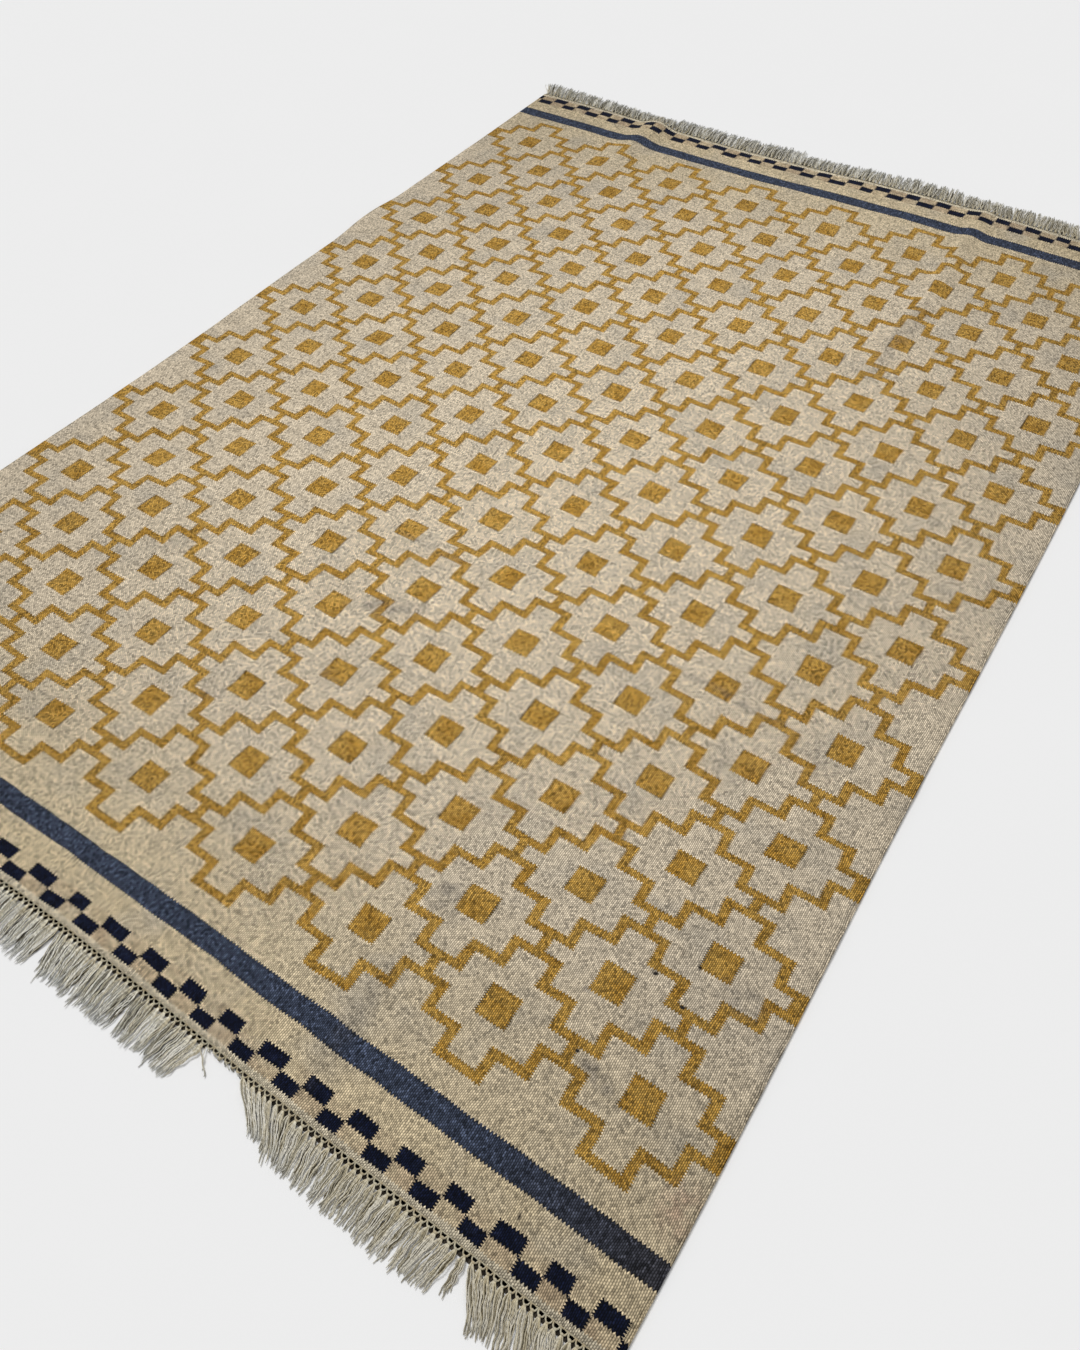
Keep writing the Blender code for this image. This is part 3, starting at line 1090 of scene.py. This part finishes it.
@dataclass(frozen=True)
class KnotFinish:
    """Undyed wool of the twining and the knots."""

    wool: Colour = paint(206, 198, 172)
    wool_warm: Colour = paint(186, 168, 132)
    wool_grey: Colour = paint(150, 148, 136)

    def material(self) -> bpy.types.Material:
        """Make the material of the twining and the knots.

        Returns:
            The material.
        """
        bench = NodeBench("knotted_warp")
        place = bench.object_place()
        patch = bench.drawn_noise(place, (120.0, 160.0, 60.0))
        strand = bench.drawn_noise(place, (620.0, 240.0, 420.0))
        colour = bench.mix(bench.remap(patch, 0.38, 0.62) * 0.8, self.wool, self.wool_warm)
        colour = bench.mix(bench.remap(strand, 0.48, 0.70) * 0.8, colour, self.wool_grey)
        tone = 0.74 + bench.remap(strand, 0.3, 0.7) * 0.40
        return bench.close(bench.dimmed(colour, tone), strand, 0.0006, 0.9, 0.10)


@dataclass(frozen=True)
class ShadeFinish:
    """Shadowed warps low between the knots."""

    dark: Colour = paint(34, 30, 26)
    light: Colour = paint(82, 74, 62)

    def material(self) -> bpy.types.Material:
        """Make the material of the shadowed warps.

        Returns:
            The material.
        """
        bench = NodeBench("shaded_warps")
        thread = bench.drawn_noise(bench.object_place(), (600.0, 120.0, 300.0))
        colour = bench.mix(bench.remap(thread, 0.45, 0.8), self.dark, self.light)
        return bench.close(bench.dimmed(colour, 0.9 + thread * 0.2), thread, 0.0005, 0.95, 0.0)


@dataclass(frozen=True)
class FloorFinish:
    """Plain pale floor."""

    pale: Colour = (0.90, 0.90, 0.90, 1.0)
    paler: Colour = (0.91, 0.91, 0.91, 1.0)

    def material(self) -> bpy.types.Material:
        """Make the floor's material.

        Returns:
            The material.
        """
        bench = NodeBench("pale_floor")
        grain = bench.noise(bench.object_place(), 3.0, 2.0, "3D")
        return bench.close(bench.mix(grain, self.pale, self.paler), grain, 0.0, 0.95, 0.0)


class SheetHold(Enum):
    """Ways that a cloth is held."""

    LAID = "laid"


class YarnTone(Enum):
    """Shades of the fringe's yarns, each with its place in the list of their finishes."""

    PALE = 0
    WARM = 1
    GREY = 2
    # dark low yarns: their dark colour is painted shade between the upper yarns
    LOW_SHADED = 3


YARN_FINISHES = {
    YarnTone.PALE: YarnFinish("pale_yarn", paint(226, 219, 198), paint(243, 240, 230), paint(212, 212, 206)),
    YarnTone.WARM: YarnFinish("warm_yarn", paint(208, 196, 166), paint(214, 207, 186), paint(184, 182, 172)),
    YarnTone.GREY: YarnFinish("grey_yarn", paint(150, 142, 120), paint(162, 158, 143), paint(146, 146, 140)),
    # painted shade: the dark colour of the low yarns
    YarnTone.LOW_SHADED: YarnFinish("low_shaded_yarn", paint(78, 68, 48), paint(84, 76, 58), paint(104, 98, 84)),
}


def to_object(name: str, mesh: bpy.types.Mesh, finishes: list[bpy.types.Material]) -> bpy.types.Object:
    """Make a piece of the rug from a finished mesh.

    Args:
        name: The piece's name.
        mesh: Its mesh, already in place.
        finishes: Its materials, in the order that its faces count them.

    Returns:
        The piece, riding on the rug's body.
    """
    counts = [polygon.material_index for polygon in mesh.polygons]
    mesh.materials.clear()
    for finish in finishes:
        mesh.materials.append(finish)
    mesh.polygons.foreach_set("material_index", counts)
    mesh.polygons.foreach_set("use_smooth", [True] * len(mesh.polygons))
    obj = bpy.data.objects.new(name, mesh)
    bpy.context.scene.collection.objects.link(obj)
    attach(obj, BODY)
    return obj


def to_mesh(name: str, bm: bmesh.types.BMesh) -> bpy.types.Mesh:
    """Make a mesh from a bmesh, which is then done with.

    Args:
        name: The mesh's name.
        bm: The bmesh.

    Returns:
        The mesh.
    """
    mesh = bpy.data.meshes.new(name)
    bm.to_mesh(mesh)
    bm.free()
    return mesh


def write_maps(mesh: bpy.types.Mesh) -> None:
    """Write a flat mesh's UV maps: "weave", the pattern's s and t, and "checks", the squares' counts.

    Args:
        mesh: The mesh, with s and t as its coordinates.
    """
    weave = mesh.uv_layers.get("weave") or mesh.uv_layers.new(name="weave")
    checks = mesh.uv_layers.new(name="checks")
    places = []
    for vertex in mesh.vertices:
        s, t, _ = vertex.co
        shares = [(drift, drift.share(s, t)) for drift in PATTERN_DRIFTS]
        places.append((s - sum(drift.slide_s * share for drift, share in shares),
                       t - sum(drift.slide_t * share for drift, share in shares)))
    counts = [(NEAR_CHECKS.count(v.co.x), FAR_CHECKS.count(v.co.x)) for v in mesh.vertices]
    corners = [loop.vertex_index for loop in mesh.loops]
    weave.data.foreach_set("uv", [part for i in corners for part in places[i]])
    checks.data.foreach_set("uv", [part for i in corners for part in counts[i]])


@dataclass(frozen=True)
class Strand:
    """One yarn as points of its middle line, with how thick it is at each and its shade."""

    points: tuple[tuple[float, float, float], ...]
    thickness: tuple[float, ...]
    tone: YarnTone = YarnTone.PALE


def spin_strands(name: str, strands: list[Strand], radius: float, finishes: list[bpy.types.Material],
                 sides: int = 0) -> bpy.types.Mesh:
    """Make round yarns along their middle lines.

    Args:
        name: Name of the mesh.
        strands: The yarns.
        radius: Radius where a strand's thickness is 1.
        finishes: Materials that the yarns' shades count.
        sides: How finely the yarn is rounded: 0 for four sides, 1 for six.

    Returns:
        One mesh of all the yarns, closed at their ends.
    """
    curve = bpy.data.curves.new(name + "_lines", "CURVE")
    curve.dimensions = "3D"
    curve.bevel_depth = radius
    curve.bevel_resolution = sides
    curve.use_fill_caps = True
    for finish in finishes:
        curve.materials.append(finish)
    for strand in strands:
        spline = curve.splines.new("POLY")
        spline.material_index = strand.tone.value
        spline.points.add(len(strand.points) - 1)
        spline.points.foreach_set("co", [part for p in strand.points for part in (*p, 1.0)])
        spline.points.foreach_set("radius", strand.thickness)
    carrier = bpy.data.objects.new(name + "_lines", curve)
    bpy.context.scene.collection.objects.link(carrier)
    graph = bpy.context.evaluated_depsgraph_get()
    mesh = bpy.data.meshes.new_from_object(carrier.evaluated_get(graph))
    mesh.name = name
    bpy.data.objects.remove(carrier)
    bpy.data.curves.remove(curve)
    return mesh


@dataclass
class RugCloth:
    """The woven cloth and its two selvedge cords."""

    lie: RugLie
    columns: int = 170
    rows: int = 240
    pucker: float = 0.0009
    ripple: float = 0.0004
    cord_radius: float = 0.0020
    cord_inset: float = 0.0012
    cord_seat: float = 0.56
    cord_steps: int = 480

    def slack(self, s: float, t: float) -> float:
        """Height of the cloth's slack: soft puckers and small ripples.

        Args:
            s: Distance across the flat cloth.
            t: Distance along the flat cloth.

        Returns:
            The height, never below 0.
        """
        wide = noise.noise(Vector((s * 7.0, t * 7.0, 3.1)))
        small = noise.noise(Vector((s * 21.0, t * 24.0, 8.7)))
        return max(self.pucker * (0.6 + wide) + self.ripple * (0.5 + small), 0.0)

    def build(self, finish: bpy.types.Material) -> bpy.types.Object:
        """Build the cloth.

        Args:
            finish: The weave's material.

        Returns:
            The cloth.
        """
        lie = self.lie
        bm = bmesh.new()
        stretch = Matrix.Diagonal((lie.width / 2, lie.length() / 2, 1.0, 1.0))
        centre = Matrix.Translation((0.0, (lie.far_reach - lie.near_reach) / 2, 0.0))
        bmesh.ops.create_grid(bm, x_segments=self.columns, y_segments=self.rows, size=1.0,
                              matrix=centre @ stretch)
        mesh = to_mesh("kilim_cloth", bm)
        write_maps(mesh)
        for vertex in mesh.vertices:
            vertex.co.z = lie.thickness + self.slack(vertex.co.x, vertex.co.y)
        lie.lay_mesh(mesh)
        cloth = to_object("kilim_cloth", mesh, [finish])
        shell = cloth.modifiers.new("thickness", "SOLIDIFY")
        shell.thickness = lie.thickness
        shell.offset = -1.0
        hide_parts("rug_panel")
        return cloth

    def build_selvedges(self, finish: bpy.types.Material) -> bpy.types.Object:
        """Build the cords that bind the two long sides.

        Args:
            finish: The weave's material, so that stripes and checks run out to the very edge.

        Returns:
            Both cords as one piece.
        """
        lie = self.lie
        cords = []
        for side in (-1, 1):
            s = side * (lie.width / 2 - self.cord_inset)
            points = []
            thickness = []
            for i in range(self.cord_steps + 1):
                t = -lie.near_reach + lie.length() * i / self.cord_steps
                lift = lie.thickness * self.cord_seat + self.slack(s, t)
                points.append((s, t, lift))
                thickness.append(0.95 + 0.12 * noise.noise(Vector((side * 5.0, t * 120.0, 0.0))))
            cords.append(Strand(tuple(points), tuple(thickness)))
        mesh = spin_strands("selvedge_cords", cords, self.cord_radius, [finish], sides=1)
        write_maps(mesh)
        lie.lay_mesh(mesh)
        return to_object("selvedge_cords", mesh, [finish])


@dataclass(frozen=True)
class Clump:
    """Neighbouring locks of fringe that sweep the same way and close up at their tips."""

    root_from: float
    root_to: float
    tip_from: float
    tip_to: float
    length: float


NEAR_CLUMPS = (
    Clump(-0.850, -0.765, -0.866, -0.788, 0.055),
    Clump(-0.765, -0.665, -0.778, -0.690, 0.060),
    Clump(-0.665, -0.560, -0.676, -0.580, 0.057),
    Clump(-0.560, -0.470, -0.566, -0.486, 0.060),
    Clump(-0.470, -0.360, -0.470, -0.374, 0.058),
    Clump(-0.360, -0.265, -0.362, -0.272, 0.060),
    Clump(-0.265, -0.160, -0.262, -0.166, 0.058),
    Clump(-0.160, -0.090, -0.150, -0.094, 0.056),
    Clump(-0.090, -0.020, -0.088, -0.024, 0.059),
    Clump(-0.020, 0.055, -0.004, 0.052, 0.060),
    Clump(0.055, 0.135, 0.061, 0.129, 0.060),
    Clump(0.135, 0.253, 0.141, 0.238, 0.058),
    Clump(0.314, 0.352, 0.362, 0.388, 0.045),
    Clump(0.352, 0.422, 0.392, 0.430, 0.054),
    Clump(0.422, 0.485, 0.434, 0.482, 0.057),
    Clump(0.485, 0.592, 0.488, 0.587, 0.057),
    Clump(0.592, 0.650, 0.592, 0.640, 0.053),
    Clump(0.650, 0.664, 0.652, 0.667, 0.043),
    Clump(0.664, 0.714, 0.699, 0.724, 0.051),
    Clump(0.714, 0.850, 0.735, 0.855, 0.050),
)

FAR_CLUMPS = (
    Clump(-0.850, -0.800, -0.878, -0.820, 0.050),
    Clump(-0.800, -0.640, -0.814, -0.655, 0.047),
    Clump(-0.640, -0.520, -0.651, -0.533, 0.043),
    Clump(-0.520, -0.440, -0.529, -0.453, 0.041),
    Clump(-0.440, -0.330, -0.446, -0.342, 0.057),
    Clump(-0.330, -0.200, -0.337, -0.208, 0.058),
    Clump(-0.200, -0.080, -0.204, -0.087, 0.058),
    Clump(-0.080, 0.060, -0.083, 0.052, 0.045),
    Clump(0.060, 0.160, 0.057, 0.152, 0.049),
    Clump(0.160, 0.330, 0.157, 0.322, 0.051),
    Clump(0.330, 0.460, 0.327, 0.452, 0.044),
    Clump(0.460, 0.640, 0.457, 0.632, 0.049),
    Clump(0.640, 0.850, 0.637, 0.845, 0.049),
)

# Where the near fringe has worn away down to stubs
WORN_CLUMP = Clump(0.253, 0.314, 0.256, 0.316, 0.000)


@dataclass(frozen=True)
class Lock:
    """One knotted lock: where it leaves the cloth, where its tip lies, how far it reaches, and its yarns."""

    root: float
    tip: float
    length: float
    yarns: int = 8


class RugEnd(Enum):
    """The two ends of the rug, each with the way that its fringe points."""

    NEAR = -1
    FAR = 1


@dataclass
class FringeEnd:
    """One end of the rug: twining, knots and loose warp yarns."""

    lie: RugLie
    end: RugEnd
    clumps: tuple[Clump, ...]
    seed: int
    stray: float
    loft: float
    tone_odds: tuple[float, float, float]
    worn: tuple[Clump, ...] = ()
    strays: tuple[Lock, ...] = ()
    lock_pitch: float = 0.0099
    worn_yarns: int = 3
    yarn_radius: float = 0.00076
    yarn_points: int = 13
    knot_spacing: float = 0.0003
    full_spacing: float = 0.00130
    tip_spacing: float = 0.00120
    low_thickness: float = 1.7
    low_spacing: float = 0.0030
    low_share: float = 0.82
    open_locks: float = 0.42
    knot_from_edge: float = 0.0068
    yarn_from_edge: float = 0.0074
    heading_depth: float = 0.011
    twine_from_edge: float = 0.0006
    twine_radius: float = 0.00085
    twine_swing: float = 0.0005
    twine_rise: float = 0.0007
    twine_lift: float = 0.0026
    knot_size: tuple[float, float, float] = (0.0025, 0.0018, 0.0018)
    knot_lift: float = 0.0025
    shade_depth: float = 0.0103
    worn_shade_depth: float = 0.0058
    shade_lift: float = 0.0007
    shade_cell: float = 0.02
    lean: float = 0.0006
    wave_turns: tuple[float, float] = (2.0, 3.0)
    wave_depth: tuple[float, float] = (0.0003, 0.0012)
    full_wave_length: float = 0.03
    length_spread: float = 0.07
    broken_odds: float = 0.05
    broken_length: tuple[float, float] = (0.62, 0.85)
    curl: float = 0.0014

    def label(self) -> str:
        """Name of the end in the pieces' names."""
        return self.end.name.lower()

    def edge(self) -> float:
        """Distance along at which the cloth ends."""
        return -self.lie.near_reach if self.end is RugEnd.NEAR else self.lie.far_reach

    def out(self, distance: float) -> float:
        """Distance along at some way out from the cloth's edge."""
        return self.edge() + self.end.value * distance

    def plan_locks(self, rng: random.Random) -> list[Lock]:
        """Plan the locks from left to right.

        Args:
            rng: Source of the chance spreads.

        Returns:
            The locks.
        """
        locks = []
        for clump in self.clumps + self.worn:
            span = clump.root_to - clump.root_from
            count = round(span / self.lock_pitch)
            for i in range(count):
                share = (i + 0.5) / count
                root = clump.root_from + share * span
                tip = clump.tip_from + share * (clump.tip_to - clump.tip_from)
                tip += rng.gauss(0.0, self.stray)
                length = clump.length * (1.0 + rng.uniform(-0.05, 0.05))
                if clump in self.worn:
                    locks.append(Lock(root, tip, rng.uniform(-0.0020, 0.0012), self.worn_yarns))
                else:
                    locks.append(Lock(root, tip, length))
        return locks

    def plan_yarns(self, lock: Lock, rng: random.Random) -> list[Strand]:
        """Plan one lock's yarns, which leave its knot together, fan out and close again.

        Args:
            lock: The lock.
            rng: Source of the chance spreads.

        Returns:
            The yarns.
        """
        yarns = []
        lean = rng.uniform(-self.lean, self.lean)
        phase = lock.root * 34.0 + rng.uniform(-0.12, 0.12)
        turns = rng.uniform(*self.wave_turns)
        wave = rng.uniform(*self.wave_depth) * min(lock.length / self.full_wave_length, 1.0)
        for k in range(lock.yarns):
            place = k - (lock.yarns - 1) / 2
            reach = self.heading_depth - self.yarn_from_edge
            reach += lock.length * (1.0 + rng.gauss(0.0, self.length_spread))
            if rng.random() < self.broken_odds:
                reach *= rng.uniform(*self.broken_length)
            tip = lock.tip + rng.gauss(0.0, self.stray)
            swing = wave * rng.uniform(0.7, 1.3)
            own_phase = phase + rng.gauss(0.0, 0.09)
            layer = rng.uniform(0.0, self.loft)
            curl = max(rng.gauss(0.0, self.curl), 0.0)
            points = []
            for i in range(self.yarn_points):
                share = i / (self.yarn_points - 1)
                spacing = self.knot_spacing + (self.full_spacing - self.knot_spacing) * ease(share / 0.16)
                spacing -= (self.full_spacing - self.tip_spacing) * ease((share - 0.25) / 0.75)
                s = lock.root + lean + (tip - lock.root) * (0.45 * share + 0.55 * ease(share))
                s += place * spacing
                s += swing * min(share * 4.0, 1.0) * math.sin(math.tau * (share * turns + own_phase))
                bulge = math.sin(math.pi * min(share * 1.25, 1.0))
                z = self.yarn_radius + 0.0020 * (1.0 - ease(share * 3.0)) + layer * bulge
                z += 0.0008 * bulge + curl * share ** 3
                points.append((s, self.out(self.yarn_from_edge + reach * share), z))
            thickness = [0.95 + rng.uniform(-0.14, 0.16) for _ in points]
            thickness[-1] = 0.55
            tone = rng.choices((YarnTone.PALE, YarnTone.WARM, YarnTone.GREY), self.tone_odds)[0]
            yarns.append(Strand(tuple(points), tuple(thickness), tone))
        return yarns

    def plan_low_yarns(self, lock: Lock, rng: random.Random) -> list[Strand]:
        """Plan the dark yarns low under a lock, whose dark colour is painted shade between the upper yarns.

        Args:
            lock: The lock.
            rng: Source of the chance spreads.

        Returns:
            The yarns. A few locks have none, so that the floor shows between them.
        """
        if lock.length < self.heading_depth or rng.random() < self.open_locks:
            return []
        yarns = []
        reach = (self.heading_depth - self.yarn_from_edge + lock.length) * self.low_share
        for place in (-1.0, 0.0, 1.0):
            own_reach = reach * rng.uniform(0.86, 1.06)
            phase = rng.random()
            points = []
            for i in range(self.yarn_points - 4):
                share = i / (self.yarn_points - 5)
                s = lock.root + (lock.tip - lock.root) * self.low_share * share
                s += place * self.low_spacing * (1.0 - 0.3 * share) * ease(share / 0.2)
                s += 0.0010 * math.sin(math.tau * (share * 2.3 + phase))
                z = self.yarn_radius * self.low_thickness * 0.9
                points.append((s, self.out(self.yarn_from_edge + own_reach * share), z))
            thickness = [self.low_thickness * rng.uniform(0.86, 1.08) for _ in points]
            thickness[-1] = 0.6
            yarns.append(Strand(tuple(points), tuple(thickness), YarnTone.LOW_SHADED))
        return yarns

    def build_yarns(self, locks: list[Lock], rng: random.Random,
                    finishes: list[bpy.types.Material]) -> bpy.types.Object:
        """Build the loose yarns of every lock.

        Args:
            locks: The locks.
            rng: Source of the chance spreads.
            finishes: The yarns' materials, in the order of their shades.

        Returns:
            The yarns as one piece, standing for the fringe's solid.
        """
        yarns = []
        for lock in locks:
            yarns.extend(self.plan_yarns(lock, rng))
            yarns.extend(self.plan_low_yarns(lock, rng))
        mesh = spin_strands(f"{self.label()}_fringe_yarns", yarns, self.yarn_radius, finishes)
        self.lie.lay_mesh(mesh)
        obj = to_object(mesh.name, mesh, finishes)
        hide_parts(f"{self.label()}_fringe")
        return obj

    def build_heading(self, locks: list[Lock], rng: random.Random,
                      finish: bpy.types.Material) -> bpy.types.Object:
        """Build the twining along the edge, the short warps into it and the knots.

        Args:
            locks: The locks, each of which has a knot.
            rng: Source of the chance spreads.
            finish: The yarn's material.

        Returns:
            The heading as one piece.
        """
        half = self.lie.width / 2
        strands = []
        for turn in (0.0, 0.5):
            strands.append(self._twine(half, turn, rng))
        for lock in locks:
            strands.extend(self._stems(lock, rng))
        mesh = spin_strands(f"{self.label()}_heading", strands, self.twine_radius, [finish])
        bm = bmesh.new()
        bm.from_mesh(mesh)
        wide, deep, high = self.knot_size
        for lock in locks:
            tilt = Euler((0.0, 0.0, rng.uniform(-0.5, 0.5))).to_matrix().to_4x4()
            swell = rng.uniform(0.86, 1.14)
            shape = Matrix.Diagonal((wide * swell, deep * swell, high, 1.0))
            s = lock.root + rng.uniform(-0.0005, 0.0005)
            t = self.out(self.knot_from_edge + rng.uniform(-0.0006, 0.0006))
            at = Matrix.Translation((s, t, self.knot_lift))
            bmesh.ops.create_icosphere(bm, subdivisions=2, radius=1.0, matrix=at @ tilt @ shape)
        bm.to_mesh(mesh)
        bm.free()
        self.lie.lay_mesh(mesh)
        return to_object(mesh.name, mesh, [finish])

    def _twine(self, half: float, turn: float, rng: random.Random) -> Strand:
        """Plan one of the two yarns that twist round each other along the edge.

        Args:
            half: Half of the cloth's width.
            turn: Where in its twist the yarn begins, as a share of a turn.
            rng: Source of the chance spreads.

        Returns:
            The yarn.
        """
        count = round(2 * half / self.lock_pitch) * 6
        points = []
        for i in range(count + 1):
            s = -half + 0.001 + (2 * half - 0.002) * i / count
            angle = math.tau * (s / self.lock_pitch + turn)
            t = self.out(self.twine_from_edge + self.twine_swing * math.sin(angle))
            points.append((s, t, self.twine_lift + self.twine_rise * math.cos(angle)))
        return Strand(tuple(points), tuple(rng.uniform(0.9, 1.1) for _ in points))

    def _stems(self, lock: Lock, rng: random.Random) -> list[Strand]:
        """Plan two short bundles of warps that lean from the cloth into one knot.

        Args:
            lock: The knot's lock.
            rng: Source of the chance spreads.

        Returns:
            The bundles, with a small hole between them.
        """
        stems = []
        half = self.lock_pitch / 2
        for side in (-1.0, 1.0):
            thickness = rng.uniform(1.05, 1.40)
            points = (
                (lock.root + side * 0.88 * half, self.out(-0.0004), 0.0026),
                (lock.root + side * 0.82 * half, self.out(0.0022), 0.0026),
                (lock.root + side * 0.0032, self.out(0.0048), 0.0025),
                (lock.root + side * 0.0013, self.out(0.0066), 0.0024),
            )
            stems.append(Strand(points, (thickness,) * 4))
        return stems

    def build_shade(self, finish: bpy.types.Material) -> bpy.types.Object:
        """Build the shadowed warps that show between the knots.

        Args:
            finish: Material of the shadowed warps.

        Returns:
            The piece, a thin strip low under the knots.
        """
        half = self.lie.width / 2 - 0.001
        bm = bmesh.new()
        spans = [(-half, half, self.worn_shade_depth)]
        spans += [(max(c.root_from, -half), min(c.root_to, half), self.shade_depth) for c in self.clumps]
        for start, stop, depth in spans:
            middle = Matrix.Translation(((start + stop) / 2, self.out(depth / 2), self.shade_lift))
            size = Matrix.Diagonal(((stop - start) / 2, depth / 2, 1.0, 1.0))
            cells = max(round((stop - start) / self.shade_cell), 2)
            bmesh.ops.create_grid(bm, x_segments=cells, y_segments=2, size=1.0, matrix=middle @ size)
        mesh = to_mesh(f"{self.label()}_shaded_warps", bm)
        self.lie.lay_mesh(mesh)
        return to_object(mesh.name, mesh, [finish])

    def build(self, yarns: list[bpy.types.Material], knots: bpy.types.Material,
              shade: bpy.types.Material) -> list[bpy.types.Object]:
        """Build the whole end.

        Args:
            yarns: The yarns' materials, in the order of their shades.
            knots: Material of the twining and the knots.
            shade: Material of the shadowed warps.

        Returns:
            Its pieces.
        """
        rng = random.Random(self.seed)
        locks = self.plan_locks(rng)
        loose = self.build_yarns(locks + list(self.strays), rng, yarns)
        heading = self.build_heading(locks, rng, knots)
        return [loose, heading, self.build_shade(shade)]


@dataclass(frozen=True)
class Studio:
    """Pale floor, soft light and the camera, placed as the photographer stood."""

    lie: RugLie
    floor_size: float = 30.0
    floor_drop: float = 0.0005
    camera_place: tuple[float, float, float] = (0.92000, -1.33864, 1.38401)
    camera_turn: tuple[float, float, float] = (38.2613, 1.7835, 34.0756)
    lens: float = 29.5924
    sensor: float = 36.0
    world_strength: float = 0.46
    sun_strength: float = 1.80
    sun_softness: float = 22.0
    sun_from: tuple[float, float, float] = (-0.75, 0.42, 1.25)

    def build_floor(self) -> bpy.types.Object:
        """Build the floor.

        Returns:
            The floor.
        """
        bm = bmesh.new()
        bmesh.ops.create_grid(bm, x_segments=4, y_segments=4, size=self.floor_size / 2,
                              matrix=Matrix.Translation((0.0, 0.0, -self.floor_drop)))
        mesh = to_mesh("floor", bm)
        mesh.materials.append(FloorFinish().material())
        floor = bpy.data.objects.new("floor", mesh)
        bpy.context.scene.collection.objects.link(floor)
        return floor

    def light(self) -> None:
        """Light the floor evenly from all round, with a soft sun from above the far left."""
        scene = bpy.context.scene
        scene.view_settings.view_transform = "Standard"
        world = bpy.data.worlds.new("soft_room")
        world.use_nodes = True
        world.node_tree.nodes["Background"].inputs["Color"].default_value = (1.0, 1.0, 1.0, 1.0)
        world.node_tree.nodes["Background"].inputs["Strength"].default_value = self.world_strength
        scene.world = world
        sun = bpy.data.lights.new("soft_sun", "SUN")
        sun.energy = self.sun_strength
        sun.angle = math.radians(self.sun_softness)
        lamp = bpy.data.objects.new("soft_sun", sun)
        lamp.rotation_euler = Vector(self.sun_from).to_track_quat("Z", "Y").to_euler()
        scene.collection.objects.link(lamp)

    def set_camera(self) -> None:
        """Set up the camera at the photograph's place and angle."""
        data = bpy.data.cameras.new("camera")
        data.lens = self.lens
        data.sensor_width = self.sensor
        data.clip_start = 0.05
        data.clip_end = 100.0
        camera = bpy.data.objects.new("camera", data)
        x, y, z = self.camera_place
        camera.location = (x + self.lie.shift_x, y + self.lie.shift_y, z)
        camera.rotation_euler = Euler([math.radians(turn) for turn in self.camera_turn])
        bpy.context.scene.collection.objects.link(camera)
        bpy.context.scene.camera = camera


STRAY_LOCKS = (
    Lock(0.2450, 0.2775, 0.031, 2),
    Lock(0.2550, 0.2730, 0.024, 1),
)


def main() -> None:
    """Load the frame, build the rug's pieces in order and set up the studio."""
    logging.basicConfig(level=logging.INFO, format="%(message)s")
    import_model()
    lie = RugLie().fitted_to("rug_panel")
    studio = Studio(lie)
    studio.set_camera()
    studio.light()
    floor = studio.build_floor()
    weave = KilimFinish().material()
    rug = RugCloth(lie)
    cloth = rug.build(weave)
    pieces = [cloth, rug.build_selvedges(weave)]
    yarns = [YARN_FINISHES[tone].material() for tone in YarnTone]
    knots = KnotFinish().material()
    shade = ShadeFinish().material()
    near = FringeEnd(lie, RugEnd.NEAR, NEAR_CLUMPS, seed=7, stray=0.0017, loft=0.0040,
                     tone_odds=(0.54, 0.30, 0.16), worn=(WORN_CLUMP,), strays=STRAY_LOCKS)
    far = FringeEnd(lie, RugEnd.FAR, FAR_CLUMPS, seed=9, stray=0.0034, loft=0.0075,
                    tone_odds=(0.34, 0.26, 0.40))
    for end in (near, far):
        pieces.extend(end.build(yarns, knots, shade))
    lie.length()
    for piece in pieces:
        LOG.info("%s: %d faces", piece.name, len(piece.data.polygons))


if __name__ == "__main__":
    main()
